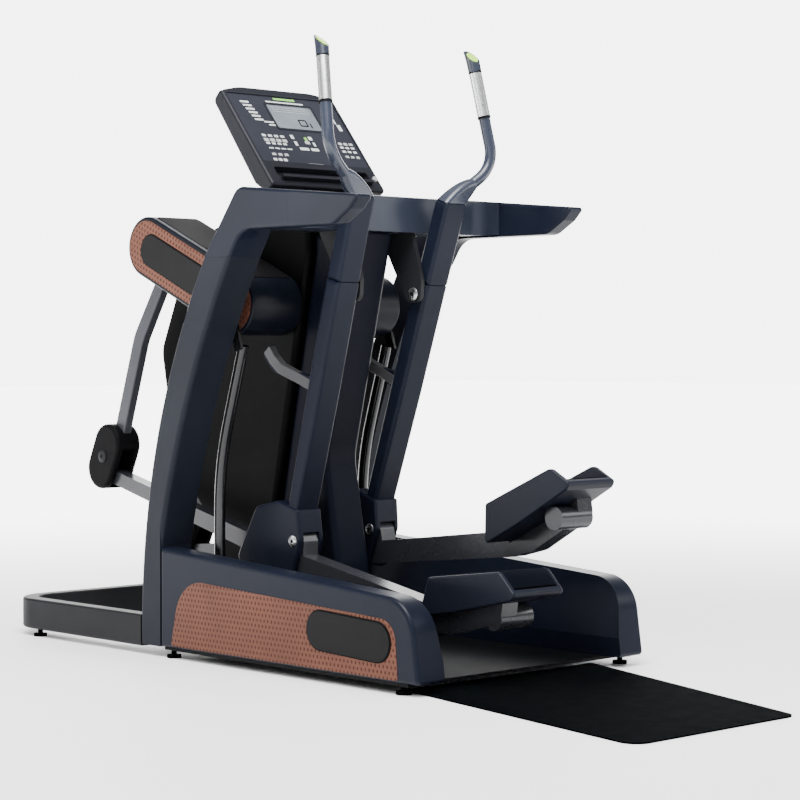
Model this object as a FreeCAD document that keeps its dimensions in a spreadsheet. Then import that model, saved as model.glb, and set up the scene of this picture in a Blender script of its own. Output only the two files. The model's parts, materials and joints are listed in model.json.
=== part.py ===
import FreeCAD, Part
import math
import os
import Sketcher

# Two-way stair climber: a pair of pedal levers hung from swinging arms, each lever
# also tied at its front end to a rocker in a round-ended pod by a bent hanger.
# X runs across the machine (+X is the user's right), +Y is the way the user faces,
# +Z is up.  The origin is on the floor, midway between the rear ends of the housings.
# The left pedal stands low and the right one high, as the machine is left after use.

SIZES = {
    # base
    "half_width": 450, "housing_thick": 100, "housing_wall": 6, "housing_front": 1098,
    "housing_nose_top": 250, "housing_front_top": 322, "nose_round": 108, "skirt": 30,
    "rail_wide": 40, "rail_high": 80, "rail_floor": 22, "foot_radius": 21, "foot_thick": 9,
    "front_reach": 1906, "front_wide": 52, "front_high": 95, "front_round": 130,
    "tube_wall": 3, "cross_deep": 380, "cross_high": 60, "pan_thick": 8,
    # uprights and rails
    "upright_wide": 115, "upright_front": 1195, "upright_waist_front": 1131,
    "upright_waist_rear": 998, "waist_height": 600, "seam_height": 1170,
    "seam_front": 895, "seam_rear": 774, "rail_top": 1368, "rail_under": 1245,
    "corner_front": 742, "rail_seam": 520, "rail_tip": 229, "rail_thick": 58,
    "rail_tip_top": 1322, "deck_rear": 602, "deck_front": 770, "deck_rise": 6,
    # mast and centre cover
    "mast_wide": 136, "mast_wall": 6, "mast_rear_top": 638, "mast_waist": 800,
    "post_wide": 60, "post_deep": 93, "post_head": 690, "split_top": 846,
    "split_foot": 1005, "shroud_half": 90, "shroud_wall": 5, "shroud_front": 1566,
    "shroud_top": 1288, "cover_gap": 1.5,
    # arms
    "arm_offset": 175, "arm_pivot_y": 604, "arm_pivot_z": 1070, "arm_tilt": 17.4,
    "arm_phase": 2, "arm_wide": 86, "arm_back": 27, "arm_front_top": 31,
    "arm_front_low": 19, "arm_seam": 36, "arm_length": 645, "cover_top": 288,
    "arm_cheek": 8, "lug_thick": 14, "lug_gap": 4,
    "foot_wide": 96, "fork_gap": 62, "hinge_back": 39, "hinge_drop": 737,
    "arm_pin_radius": 15, "lever_pin_radius": 12, "running_gap": 0.06, "seat_gap": 0.3,
    "handle_out": 140, "handle_bend_up": 402, "handle_top_out": 103,
    "handle_top_fwd": 150, "handle_top_up": 674, "handle_radius": 17, "grip_radius": 19,
    "head_reach": 6, "button_long": 23, "button_wide": 14.5, "button_thick": 7.5,
    "button_deep": 4.5,
    # levers and pedals
    "lever_ratio": 4.25, "lever_wide": 60, "lever_deep": 75, "link_wide": 45,
    "link_deep": 52, "lever_reach": 950, "pedal_offset": 140, "pedal_wide": 195,
    "pedal_wall": 14, "pad_thick": 5, "boss_radius": 33, "boss_long": 125,
    # rockers, hangers and drive
    "hub_y": 945, "hub_z": 1040, "rocker_reach": 459, "pod_clear": 40,
    "pod_gap": 15, "pod_radius": 92.5, "pod_wall": 6, "hanger_length": 791,
    "hanger_bend": 48, "hanger_deep": 50, "hanger_wide": 30, "block_wide": 92,
    "block_radius": 66, "shaft_radius": 15, "stay_clear": 48, "stay_radius": 16.5,
    "flywheel_y": 1190, "flywheel_z": 690, "flywheel_radius": 150,
    "flywheel_wide": 36, "pulley_radius": 38, "belt_thick": 3, "belt_wide": 22,
    # console
    "console_wide": 452, "console_deep": 390, "console_crown": 14, "console_thick": 58, "console_tilt": 50.2,
    "console_foot_y": 842, "console_foot_z": 1392, "panel_thick": 3,
    # loose mat
    "mat_thick": 4, "mat_inset": 65, "mat_long": 970,
}

# sizes that follow from the ones above: the pods fill the room between the centre cover
# and the uprights, the stays stand beside them, and the mast ends under the crossbar
FOLLOWING = {
    "stay_offset": "half_width - upright_wide - stay_clear",
    "pod_wide": "half_width - upright_wide - pod_clear - shroud_half - pod_gap",
    "pod_offset": "(half_width - upright_wide - pod_clear + shroud_half + pod_gap) / 2",
    "bar_under": "rail_under + deck_rise - seat_gap",
}

doc = FreeCAD.newDocument("stair_climber")
sheet = doc.addObject("Spreadsheet::Sheet", "sizes")
for row, (alias, value) in enumerate(SIZES.items(), start=1):
    sheet.set("A%d" % row, alias)
    sheet.set("B%d" % row, str(value))
    sheet.setAlias("B%d" % row, alias)
for row, (alias, rule) in enumerate(FOLLOWING.items(), start=len(SIZES) + 1):
    sheet.set("A%d" % row, alias)
    sheet.set("B%d" % row, "=" + rule)
    sheet.setAlias("B%d" % row, alias)
doc.recompute()

SIDES = (("left", -1), ("right", 1))
X_AXIS = FreeCAD.Vector(1, 0, 0)
pieces = []


def size(alias):
    """Value of one spreadsheet cell."""
    return float(sheet.get(alias))


def cell(alias):
    """Reference to one spreadsheet cell, for an expression."""
    return "<<sizes>>." + alias


# ---------------------------------------------------------------- drawing helpers

def piece(name):
    """A new body that is kept as one sub-part."""
    body = doc.addObject("PartDesign::Body", name)
    body.Label = name
    pieces.append(body)
    return body


def sketch(body, role, lift=None):
    """A sketch on one of the body's own origin planes, lifted by an expression."""
    plane = [f for f in body.Origin.OriginFeatures if f.Role == role][0]
    count = len([f for f in body.Group if f.TypeId == "Sketcher::SketchObject"])
    drawn = body.newObject("Sketcher::SketchObject", "%s_outline%d" % (body.Name, count))
    drawn.AttachmentSupport = [(plane, "")]
    drawn.MapMode = "FlatFace"
    if lift:
        drawn.setExpression("AttachmentOffset.Base.z", lift)
    return drawn


def rounded(points):
    """Lines and arcs of a closed outline; a third number rounds that corner."""
    corners = []
    for i, point in enumerate(points):
        here = FreeCAD.Vector(point[0], point[1], 0)
        before = FreeCAD.Vector(points[i - 1][0], points[i - 1][1], 0)
        after = points[(i + 1) % len(points)]
        after = FreeCAD.Vector(after[0], after[1], 0)
        into = (before - here).normalize()
        away = (after - here).normalize()
        radius = point[2] if len(point) > 2 else 0
        turn = into.getAngle(away)
        if radius and abs(turn - math.pi) > 0.01:
            reach = radius / math.tan(turn / 2)
            reach = min(reach, 0.49 * (before - here).Length, 0.49 * (after - here).Length)
            radius = reach * math.tan(turn / 2)
            middle = here + (into + away).normalize() * (radius / math.sin(turn / 2))
            top = middle + (here - middle).normalize() * radius
            corners.append((here + into * reach, top, here + away * reach))
        else:
            corners.append((here, None, here))
    shapes = []
    for i, (start, top, end) in enumerate(corners):
        if top is not None:
            shapes.append(Part.Arc(start, top, end))
        following = corners[(i + 1) % len(corners)][0]
        if (following - end).Length > 0.001:
            shapes.append(Part.LineSegment(end, following))
    return shapes


def draw(drawn, shapes):
    """Adds joined edges to a sketch and ties their ends together."""
    first = drawn.GeometryCount
    drawn.addGeometry(shapes, False)
    count = len(shapes)
    ends = [[drawn.getPoint(first + i, end) for end in (1, 2)] for i in range(count)]
    for i in range(count):
        follow = (i + 1) % count
        gaps = [((ends[i][a] - ends[follow][b]).Length, a + 1, b + 1)
                for a in (0, 1) for b in (0, 1)]
        gap, joint, other = min(gaps)
        drawn.addConstraint(
            Sketcher.Constraint("Coincident", first + i, joint, first + follow, other))


def circle(drawn, y, z, radius):
    """A circle whose radius is held by an expression."""
    index = drawn.GeometryCount
    centre = FreeCAD.Vector(y, z, 0)
    drawn.addGeometry(Part.Circle(centre, FreeCAD.Vector(0, 0, 1), 10), False)
    held = drawn.addConstraint(Sketcher.Constraint("Radius", index, 10))
    drawn.setExpression("Constraints[%d]" % held, radius)


def feature(body, kind, drawn, length, way):
    """A pad or a pocket: way is 'both', 'up' (along the normal) or 'down'."""
    count = len([f for f in body.Group if f.TypeId == "PartDesign::" + kind])
    made = body.newObject("PartDesign::" + kind, "%s_%s%d" % (body.Name, kind, count))
    made.Profile = drawn
    made.setExpression("Length", length)
    if way == "both":
        made.SideType = "Symmetric"
    elif kind == "Pad":
        made.Reversed = way == "down"
    else:
        made.Reversed = way == "up"
    return made


def pad(body, role, shapes, length, way="both", lift=None):
    drawn = sketch(body, role, lift)
    draw(drawn, shapes)
    return feature(body, "Pad", drawn, length, way)


def pocket(body, role, shapes, length, way="both", lift=None):
    drawn = sketch(body, role, lift)
    draw(drawn, shapes)
    return feature(body, "Pocket", drawn, length, way)


def round_pad(body, y, z, radius, length, way="both", lift=None, role="YZ_Plane"):
    drawn = sketch(body, role, lift)
    circle(drawn, y, z, radius)
    return feature(body, "Pad", drawn, length, way)


def bore(body, y, z, radius, length="2000", way="both", role="YZ_Plane", lift=None):
    drawn = sketch(body, role, lift)
    circle(drawn, y, z, radius)
    return feature(body, "Pocket", drawn, length, way)


def soften(body, radius, wanted):
    """Rounds the edges of the body that pass the test, as fully as they allow."""
    doc.recompute()
    tip = body.Tip
    names = []
    for i, edge in enumerate(tip.Shape.Edges, start=1):
        if wanted(edge):
            names.append("Edge%d" % i)
    if not names:
        return
    made = body.newObject("PartDesign::Fillet", "%s_Fillet" % body.Name)
    made.Base = (tip, names)
    for share in (1, 0.7, 0.45, 0.25):
        made.Radius = radius * share
        doc.recompute()
        if made.isValid() and made.Shape.isValid():
            return
    body.removeObject(made)
    doc.removeObject(made.Name)
    body.Tip = tip
    print("no rounding on", body.Name)


def across(edge):
    """True for an edge that runs along X."""
    box = edge.BoundBox
    return box.XLength > 5 and box.YLength < 0.5 and box.ZLength < 0.5


def on_face(x):
    """Test for edges that lie in the plane at x, in the body's own frame."""
    def wanted(edge):
        box = edge.BoundBox
        return box.XLength < 0.01 and abs(box.XMin - x) < 0.01
    return wanted


def place(body, x="0", y="0", z="0", turn=None):
    """Binds the body's place, and its turn about X, to the spreadsheet."""
    body.Placement = FreeCAD.Placement(FreeCAD.Vector(0, 0, 0), FreeCAD.Rotation(X_AXIS, 1))
    if turn is None:
        body.Placement = FreeCAD.Placement()
    else:
        body.setExpression("Placement.Rotation.Angle", turn)
    body.setExpression("Placement.Base.x", x)
    body.setExpression("Placement.Base.y", y)
    body.setExpression("Placement.Base.z", z)


def inset(points, wall):
    """The same outline, moved inward by a wall; its points run clockwise or not."""
    area = sum(points[i - 1][0] * p[1] - p[0] * points[i - 1][1] for i, p in enumerate(points))
    hand = 1 if area > 0 else -1
    moved = []
    for i, point in enumerate(points):
        x0, y0 = points[i - 1][:2]
        x1, y1 = point[:2]
        x2, y2 = points[(i + 1) % len(points)][:2]
        first = math.atan2(y1 - y0, x1 - x0)
        second = math.atan2(y2 - y1, x2 - x1)
        middle = (math.cos(first) + math.cos(second), math.sin(first) + math.sin(second))
        span = math.hypot(*middle)
        middle = (middle[0] / span, middle[1] / span)
        reach = wall / max(0.2, abs(math.cos((second - first) / 2)))
        corner = [x1 - middle[1] * reach * hand, y1 + middle[0] * reach * hand]
        if len(point) > 2:
            turning = math.sin(second - first) * hand
            corner.append(max(1, point[2] - wall if turning > 0 else point[2] + wall))
        moved.append(tuple(corner))
    return moved


def turned(y, z, degrees):
    """A point turned about the X axis through the origin."""
    angle = math.radians(degrees)
    return (y * math.cos(angle) - z * math.sin(angle),
            y * math.sin(angle) + z * math.cos(angle))


def inward(sign):
    """The pad direction that points from a side face to the middle."""
    return "up" if sign < 0 else "down"


def group(name, shapes):
    """Like pieces kept as separate solids in one node."""
    made = doc.addObject("Part::Feature", name)
    made.Label = name
    made.Shape = Part.makeCompound(shapes)
    pieces.append(made)
    return made


def lying(x, y, z, radius, length):
    """A cylinder along X, starting at x."""
    return Part.makeCylinder(radius, length, FreeCAD.Vector(x, y, z), X_AXIS)


# ------------------------------------------------------------------ linkage at rest

def side_angles(sign):
    """Arm, lever, rocker and hanger angles of one side, and where its pivots lie."""
    arm = size("arm_tilt") + sign * size("arm_phase")
    lever = -sign * size("arm_phase") * size("lever_ratio")
    hinge = turned(-size("hinge_back"), -size("hinge_drop"), arm)
    hinge = (hinge[0] + size("arm_pivot_y"), hinge[1] + size("arm_pivot_z"))
    tip = turned(size("lever_reach"), 14, lever)
    dy = hinge[0] + tip[0] - size("hub_y")
    dz = hinge[1] + tip[1] - size("hub_z")
    span = math.hypot(dy, dz)
    reach = size("rocker_reach")
    link = size("hanger_length")
    apex = math.acos((reach ** 2 + span ** 2 - link ** 2) / (2 * reach * span))
    rocker = math.atan2(dz, dy) + apex
    pin = (size("hub_y") + reach * math.cos(rocker), size("hub_z") + reach * math.sin(rocker))
    hanger = math.atan2(dz + size("hub_z") - pin[1], dy + size("hub_y") - pin[0])
    return {"arm": arm, "lever": lever, "rocker": math.degrees(rocker),
            "hanger": math.degrees(hanger) + 90, "hinge": hinge, "pin": pin}


def settle(body, sign, link, offset="arm_offset"):
    """Hangs a body on its arm, lever, rocker or hanger pivot at rest."""
    rest = side_angles(sign)
    origin = {"arm": (size("arm_pivot_y"), size("arm_pivot_z")), "lever": rest["hinge"],
              "rocker": (size("hub_y"), size("hub_z")), "hanger": rest["pin"]}[link]
    spin = FreeCAD.Rotation(X_AXIS, rest[link])
    body.Placement = FreeCAD.Placement(FreeCAD.Vector(0, origin[0], origin[1]), spin)
    if body.TypeId == "PartDesign::Body":
        body.setExpression("Placement.Base.x", "%d * %s" % (sign, cell(offset)))
        if link in ("arm", "rocker"):
            tag = {"arm": "arm_pivot", "rocker": "hub"}[link]
            body.setExpression("Placement.Base.y", cell(tag + "_y"))
            body.setExpression("Placement.Base.z", cell(tag + "_z"))
    else:
        body.Placement.Base.x = sign * size(offset)


# ------------------------------------------------------------------------- base

def make_front_frame():
    half = size("half_width") - 2
    wide = size("front_wide")
    back = size("upright_front") + 1
    reach = size("front_reach")
    bend = size("front_round")
    wall = size("tube_wall")

    def loop(skin, rear):
        outer = half - skin
        inner = half - wide + skin
        return rounded([(-outer, rear), (-outer, reach - skin, bend - skin),
                        (outer, reach - skin, bend - skin), (outer, rear), (inner, rear),
                        (inner, reach - wide + skin, bend - wide + skin),
                        (-inner, reach - wide + skin, bend - wide + skin), (-inner, rear)])

    body = piece("front_frame")
    pad(body, "XY_Plane", loop(0, back), cell("front_high"), "up")
    soften(body, 8, lambda e: e.BoundBox.ZLength < 0.01 and e.BoundBox.YMax > back + 1)
    pocket(body, "XY_Plane", loop(wall, back - 1),
           "%s - 2 * %s" % (cell("front_high"), cell("tube_wall")), "up", cell("tube_wall"))
    place(body, z=cell("rail_floor"))


def make_base_rails():
    body = piece("base_crossmember")
    edge = size("half_width") - size("housing_wall") - size("seat_gap")
    front = size("housing_front") - 14
    back = front - size("cross_deep")
    inner = edge - size("rail_wide")
    for sign in (-1, 1):
        outline = [(sign * edge, 45), (sign * edge, front), (sign * inner, front),
                   (sign * inner, 45)]
        pad(body, "XY_Plane", rounded(outline), cell("rail_high"), "up")
    cross = [(-inner - 1, back), (-inner - 1, front), (inner + 1, front), (inner + 1, back)]
    pad(body, "XY_Plane", rounded(cross), cell("cross_high"), "up")
    pan = [(-inner - 1, 60), (-inner - 1, back + 1), (inner + 1, back + 1), (inner + 1, 60)]
    pad(body, "XY_Plane", rounded(pan), cell("pan_thick"), "up")
    place(body, z=cell("rail_floor"))


def make_feet():
    top = size("rail_floor")
    radius = size("foot_radius")
    inner = size("half_width") - 20
    shapes = []
    for sign in (-1, 1):
        for y in (75, size("housing_front") - 41, size("front_reach") - 161):
            base = Part.makeCylinder(radius, size("foot_thick"),
                                     FreeCAD.Vector(sign * inner, y, 0))
            stem = Part.makeCylinder(8, top, FreeCAD.Vector(sign * inner, y, 0))
            shapes.append(base.fuse(stem).removeSplitter())
    group("levelling_feet", shapes)


def housing_outline():
    return [(0, size("skirt"), 10), (32, size("housing_nose_top"), size("nose_round")),
            (size("housing_front"), size("housing_front_top")),
            (size("housing_front"), size("skirt"))]


def panel_outline(clear):
    """Side trim panel: long, round-ended, following the housing's top line."""
    points = [(76, size("skirt") + 6, 8), (90, size("housing_nose_top") - 56, 60),
              (1000, size("housing_nose_top") - 12, 170), (1046, size("skirt") + 6, 8)]
    return inset(points, clear)


def make_side(side, sign):
    body = piece(side + "_side_housing")
    thick = size("housing_thick")
    low = size("skirt")
    way = inward(sign)
    pad(body, "YZ_Plane", rounded(housing_outline()), cell("housing_thick"), way)
    slope = [(-sign * thick, 85), (-sign * (thick - 48), 400), (-sign * (thick + 40), 400),
             (-sign * (thick + 40), 85)]
    pocket(body, "XZ_Plane", rounded(slope), "4000")
    soften(body, 12, lambda e: e.BoundBox.XLength < 0.01 and abs(e.BoundBox.XMin) < 0.01
           and e.BoundBox.ZMax > low + 20)
    recess = rounded(panel_outline(0))
    pocket(body, "YZ_Plane", recess, cell("panel_thick"), way)
    cavity = inset(housing_outline(), size("housing_wall") + 6)
    cavity = [(y, z if z > low + 20 else low - 5) + tuple(r) for y, z, *r in cavity]
    lift = "%d * %s" % (-sign, cell("housing_wall"))
    pocket(body, "YZ_Plane", rounded(cavity), "%s + 2 * %s" % (
        cell("rail_wide"), cell("seat_gap")), way, lift)
    back = size("housing_front") - 14 - size("cross_deep") - 1
    top = size("rail_floor") + size("cross_high") + size("seat_gap")
    notch = [(back, low - 5), (back, top), (size("housing_front") - 13, top),
             (size("housing_front") - 13, low - 5)]
    lift = "%d * (%s + %s)" % (-sign, cell("housing_wall"), cell("rail_wide"))
    pocket(body, "YZ_Plane", rounded(notch), cell("housing_thick"), way, lift)
    place(body, x="%d * %s" % (sign, cell("half_width")))


def make_side_panels():
    body_names = []
    for side, sign in SIDES:
        body = piece(side + "_side_panel")
        pad(body, "YZ_Plane", rounded(panel_outline(0.5)),
            "%s + 1" % cell("panel_thick"), inward(sign))
        place(body, x="%d * (%s + 1)" % (sign, cell("half_width")))
        body_names.append(body)
    return body_names


# ---------------------------------------------------------------- uprights and rails

def make_upright(side, sign):
    body = piece(side + "_upright")
    foot = size("upright_front")
    low = size("skirt")
    waist = size("waist_height")
    seam = size("seam_height")
    back = size("housing_front") + size("seat_gap")
    top = size("housing_front_top")

    def vec(y, z):
        return FreeCAD.Vector(y, z, 0)

    shapes = [Part.LineSegment(vec(back, low), vec(foot, low)),
              Part.Arc(vec(foot, low), vec(size("upright_waist_front"), waist),
                       vec(size("seam_front"), seam)),
              Part.LineSegment(vec(size("seam_front"), seam), vec(size("seam_rear"), seam)),
              Part.Arc(vec(size("seam_rear"), seam), vec(size("upright_waist_rear"), waist + 85),
                       vec(back, top + 4)),
              Part.LineSegment(vec(back, top + 4), vec(back, low))]
    pad(body, "YZ_Plane", shapes, cell("upright_wide"), inward(sign))
    soften(body, 14, lambda e: e.BoundBox.XLength < 0.01 and e.BoundBox.ZLength > 400
           and abs(e.BoundBox.XMin) < 0.01)
    place(body, x="%d * %s" % (sign, cell("half_width")))


def make_shoulder(side, sign):
    """The bend that joins the upright to its top rail; the leg is wider than the rail."""
    body = piece(side + "_shoulder")
    seam = size("seam_height") + size("seat_gap")
    under = size("rail_under")
    slope = (size("rail_top") - size("rail_tip_top")) / (size("corner_front") - size("rail_tip"))
    seam_top = size("rail_tip_top") + slope * (size("rail_seam") - size("rail_tip"))
    outline = [(size("seam_front"), seam), (size("corner_front"), size("rail_top"), 45),
               (size("rail_seam"), seam_top), (size("rail_seam"), under),
               (size("seam_rear") - 50, under, 120), (size("seam_rear"), seam)]
    pad(body, "YZ_Plane", rounded(outline), cell("rail_thick"), inward(sign))
    leg = [(size("seam_front"), seam), (size("corner_front") + 20, size("rail_top") - 36, 40),
           (size("corner_front") - 40, under + 25, 30), (size("seam_rear") - 48, under + 1, 20),
           (size("seam_rear"), seam)]
    pad(body, "YZ_Plane", rounded(leg), cell("upright_wide"), inward(sign))
    soften(body, 10, lambda e: e.BoundBox.XLength < 0.01 and abs(e.BoundBox.XMin) < 0.01
           and e.Length > 130)
    place(body, x="%d * %s" % (sign, cell("half_width")))


def make_rail_end(side, sign):
    body = piece(side + "_rail_end")
    slope = (size("rail_top") - size("rail_tip_top")) / (size("corner_front") - size("rail_tip"))
    seam = size("rail_seam") - size("seat_gap")
    seam_top = size("rail_tip_top") + slope * (seam - size("rail_tip"))
    tip = size("rail_tip")
    under = size("rail_under")
    outline = [(seam, seam_top), (tip, size("rail_tip_top"), 8), (tip + 36, under + 40, 30),
               (tip + 104, under, 60), (seam, under)]
    pad(body, "YZ_Plane", rounded(outline), cell("rail_thick"), inward(sign))
    soften(body, 8, lambda e: e.BoundBox.XLength < 0.01 and e.BoundBox.YLength > 30
           and e.BoundBox.ZMax > under + 60)
    place(body, x="%d * %s" % (sign, cell("half_width")))


def make_deck():
    """Crossbar under the console, curving back into both rails."""
    body = piece("console_deck")
    end = size("half_width") - size("rail_thick") - size("seat_gap")
    rear = size("deck_rear")
    front = size("deck_front")
    seam = size("rail_seam") + 5
    reach = end - 9
    leg = size("half_width") - size("upright_wide") - size("seat_gap")
    step = size("corner_front") - 43
    outline = [(-leg, front), (-leg, step), (-end, step), (-end, seam), (-reach, seam),
               (-reach, rear, 80), (reach, rear, 80), (reach, seam), (end, seam), (end, step),
               (leg, step), (leg, front)]
    pad(body, "XY_Plane", rounded(outline),
        "%s - %s - %s" % (cell("rail_top"), cell("rail_under"), cell("deck_rise")), "up")
    low = size("rail_top") - size("rail_under") - 36
    slope = [(seam - 10, low + 6), (front - 60, low + 26), (front + 10, low - 10),
             (front + 10, 200), (seam - 10, 200)]
    pocket(body, "YZ_Plane", rounded(slope), "2000")
    place(body, z="%s + %s" % (cell("rail_under"), cell("deck_rise")))


# ------------------------------------------------------------------- mast and covers

def base_top():
    """Height at which pieces stand on the crossmember."""
    return size("rail_floor") + size("cross_high") + size("seat_gap")


def mast_outline():
    top = size("bar_under")
    waist = size("mast_waist")
    split = size("split_top")
    foot = size("split_foot")
    return [(size("mast_rear_top"), top, 8), (waist, 585, 160), (waist - 58, 270, 90),
            (waist - 88, base_top(), 20), (foot, base_top(), 20), (foot, 420, 300),
            (split, 1190, 40), (split, top, 8)]


def make_mast():
    body = piece("mast_cover")
    pad(body, "YZ_Plane", rounded(mast_outline()), cell("mast_wide"))
    half = size("mast_wide") / 2
    soften(body, 22, lambda e: e.BoundBox.XLength < 0.01 and abs(abs(e.BoundBox.XMin) - half) < 0.1
           and e.BoundBox.YMin < size("mast_waist") + 5 and e.BoundBox.ZMax > base_top() + 40
           and e.BoundBox.YMax < size("mast_waist") + 30)
    inner = inset(mast_outline(), size("mast_wall") + 12)
    high = size("bar_under")
    seat = base_top()
    inner = [(y, high + 5 if z > high - 60 else seat - 5 if z < seat + 60 else z) + tuple(r)
             for y, z, *r in inner]
    pocket(body, "YZ_Plane", rounded(inner), "%s - 2 * %s" % (
        cell("mast_wide"), cell("mast_wall")))
    place(body)

    post = piece("mast_post")
    foot = base_top()
    head = size("bar_under")
    heel = size("split_foot") - 67 - size("post_deep")
    toe = heel + size("post_deep")
    outline = [(size("post_head"), head), (heel, 640, 200), (heel, foot), (toe, foot),
               (toe, 560, 200), (size("post_head") + 72, head)]
    pad(post, "YZ_Plane", rounded(outline), cell("post_wide"))
    place(post)


def shroud_outline():
    """Big centre cover in front of the mast, with a swept front edge."""
    split = size("split_top") + size("cover_gap")
    foot = size("split_foot") + size("cover_gap")
    front = size("shroud_front")
    top = size("shroud_top")
    return [(split, 1190, 40), (foot, 420, 300), (foot, base_top() + 4, 10),
            (foot + 183, base_top() + 4, 30), (front - 276, 330, 120), (front - 66, 560, 160),
            (front, 905, 90), (front - 96, 1120, 110), (front - 266, top, 80),
            (split, top, 12)]


def make_shroud(side, sign):
    body = piece(side + "_shroud")
    way = "up" if sign > 0 else "down"
    pad(body, "YZ_Plane", rounded(shroud_outline()), cell("shroud_half"), way)
    edge = sign * size("shroud_half")
    soften(body, 16, lambda e: e.BoundBox.XLength < 0.01 and abs(e.BoundBox.XMin - edge) < 0.1
           and e.BoundBox.YMax > 1020)
    pocket(body, "YZ_Plane", rounded(inset(shroud_outline(), size("shroud_wall") + 14)),
           "%s - %s" % (cell("shroud_half"), cell("shroud_wall")), way)
    bore(body, size("hub_y"), size("hub_z"), "%s + 3" % cell("shaft_radius"), "400")
    bore(body, size("hub_y"), size("hub_z"), "%s + %s + 3" % (
        cell("pulley_radius"), cell("belt_thick")), "2 * (%s + 30)" % cell("belt_wide"))
    place(body, x="%d * %s" % (sign, "0.1"))


# --------------------------------------------------------------------- drive parts

def make_drive():
    hub_y = size("hub_y")
    hub_z = size("hub_z")
    fly_y = size("flywheel_y")
    fly_z = size("flywheel_z")
    shaft = piece("hub_shaft")
    ends = "2 * (%s + %s + 12)" % (cell("stay_offset"), cell("stay_radius"))
    round_pad(shaft, 0, 0, cell("shaft_radius"), ends)
    round_pad(shaft, 0, 0, cell("pulley_radius"), "%s + 6" % cell("belt_wide"), "up", "20")
    place(shaft, y=cell("hub_y"), z=cell("hub_z"))

    wheel = piece("flywheel")
    round_pad(wheel, 0, 0, cell("flywheel_radius"), cell("flywheel_wide"), "down", "10")
    doc.recompute()
    ring = sketch(wheel, "YZ_Plane", "10")
    circle(ring, 0, 0, "%s - 26" % cell("flywheel_radius"))
    circle(ring, 0, 0, "44")
    feature(wheel, "Pocket", ring, "11", "down")
    back = sketch(wheel, "YZ_Plane", "10 - %s" % cell("flywheel_wide"))
    circle(back, 0, 0, "%s - 26" % cell("flywheel_radius"))
    circle(back, 0, 0, "44")
    feature(wheel, "Pocket", back, "11", "up")
    round_pad(wheel, 0, 0, "%s / 2" % cell("pulley_radius"), "%s + 16" % cell("belt_wide"),
              "up", "10")
    bore(wheel, 0, 0, "10 + %s" % cell("running_gap"), "300")
    place(wheel, y=cell("flywheel_y"), z=cell("flywheel_z"))

    generator = piece("generator")
    round_pad(generator, 0, 0, "105", "40", "down", "-33")
    round_pad(generator, 0, 0, "10", "91", "up", "-33")
    floor = base_top() + 18 + size("shroud_wall") + size("seat_gap") - fly_z
    strut = [(-60, -60), (-150, -250), (-150, floor), (-110, floor), (-110, -260), (40, -60)]
    pad(generator, "YZ_Plane", rounded(strut), "14", "down", "-50")
    place(generator, y=cell("flywheel_y"), z=cell("flywheel_z"))

    reach = math.hypot(fly_y - hub_y, fly_z - hub_z)
    gap = size("seat_gap")
    big = size("pulley_radius") + gap
    small = size("pulley_radius") / 2 + gap
    thick = size("belt_thick")

    def loop(extra):
        lean = math.asin((big - small) / reach)
        top = math.cos(lean)
        side = math.sin(lean)
        b = big + extra
        s = small + extra
        v = FreeCAD.Vector
        return [Part.Arc(v(side * b, top * b, 0), v(-b, 0, 0), v(side * b, -top * b, 0)),
                Part.LineSegment(v(side * b, -top * b, 0), v(reach + side * s, -top * s, 0)),
                Part.Arc(v(reach + side * s, -top * s, 0), v(reach + s, 0, 0),
                         v(reach + side * s, top * s, 0)),
                Part.LineSegment(v(reach + side * s, top * s, 0), v(side * b, top * b, 0))]

    belt = piece("drive_belt")
    drawn = sketch(belt, "YZ_Plane", "23")
    draw(drawn, loop(thick))
    draw(drawn, loop(0))
    feature(belt, "Pad", drawn, cell("belt_wide"), "up")
    lean = math.degrees(math.atan2(fly_z - hub_z, fly_y - hub_y))
    belt.Placement = FreeCAD.Placement(FreeCAD.Vector(0, hub_y, hub_z),
                                       FreeCAD.Rotation(X_AXIS, lean))


def make_stays():
    """Bent frame tubes beside the pods, with the shaft's bearing eyes at their tops."""
    shapes = []
    foot = base_top()
    radius = size("stay_radius")
    hub = (size("hub_y"), size("hub_z"))
    bottom = (1020, foot)
    knee = (1020, 560)
    top = (908, hub[1] - size("pod_radius") - 30)
    for side, sign in SIDES:
        x = sign * size("stay_offset")
        low = FreeCAD.Vector(x, *bottom)
        mid = FreeCAD.Vector(x, *knee)
        high = FreeCAD.Vector(x, *top)
        start = mid + (low - mid).normalize() * 130
        end = mid + (high - mid).normalize() * 130
        away = ((low - mid).normalize() + (high - mid).normalize())
        turn = (low - mid).getAngle(high - mid)
        bend = 130 * math.tan(turn / 2)
        middle = mid + away.normalize() * (bend / math.sin(turn / 2))
        crown = middle + (mid - middle).normalize() * bend
        path = Part.Wire([Part.makeLine(low, start), Part.Arc(start, crown, end).toShape(),
                          Part.makeLine(end, high)])
        ring = Part.Wire(Part.makeCircle(radius, low, FreeCAD.Vector(0, 0, 1)))
        tube = path.makePipeShell([ring], True, False)
        plate_x = x + sign * (radius - 1)
        reach = 9 * sign
        outer = plate_x if sign > 0 else plate_x + reach
        eye = lying(outer, hub[0], hub[1], 34, 9)
        slope = math.atan2(hub[1] - top[1], hub[0] - top[0])
        web = Part.makeBox(9, math.hypot(hub[0] - top[0], hub[1] - top[1]) + 14, 30,
                           FreeCAD.Vector(outer, -14, -15))
        web.rotate(FreeCAD.Vector(0, 0, 0), X_AXIS, math.degrees(slope))
        web.translate(FreeCAD.Vector(0, top[0], top[1]))
        hole = lying(outer - 5, hub[0], hub[1], size("shaft_radius") + size("running_gap"), 19)
        shapes.append(tube.fuse([eye, web]).cut(hole))
    group("frame_stays", shapes)


# ----------------------------------------------------------------------------- arms

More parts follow.
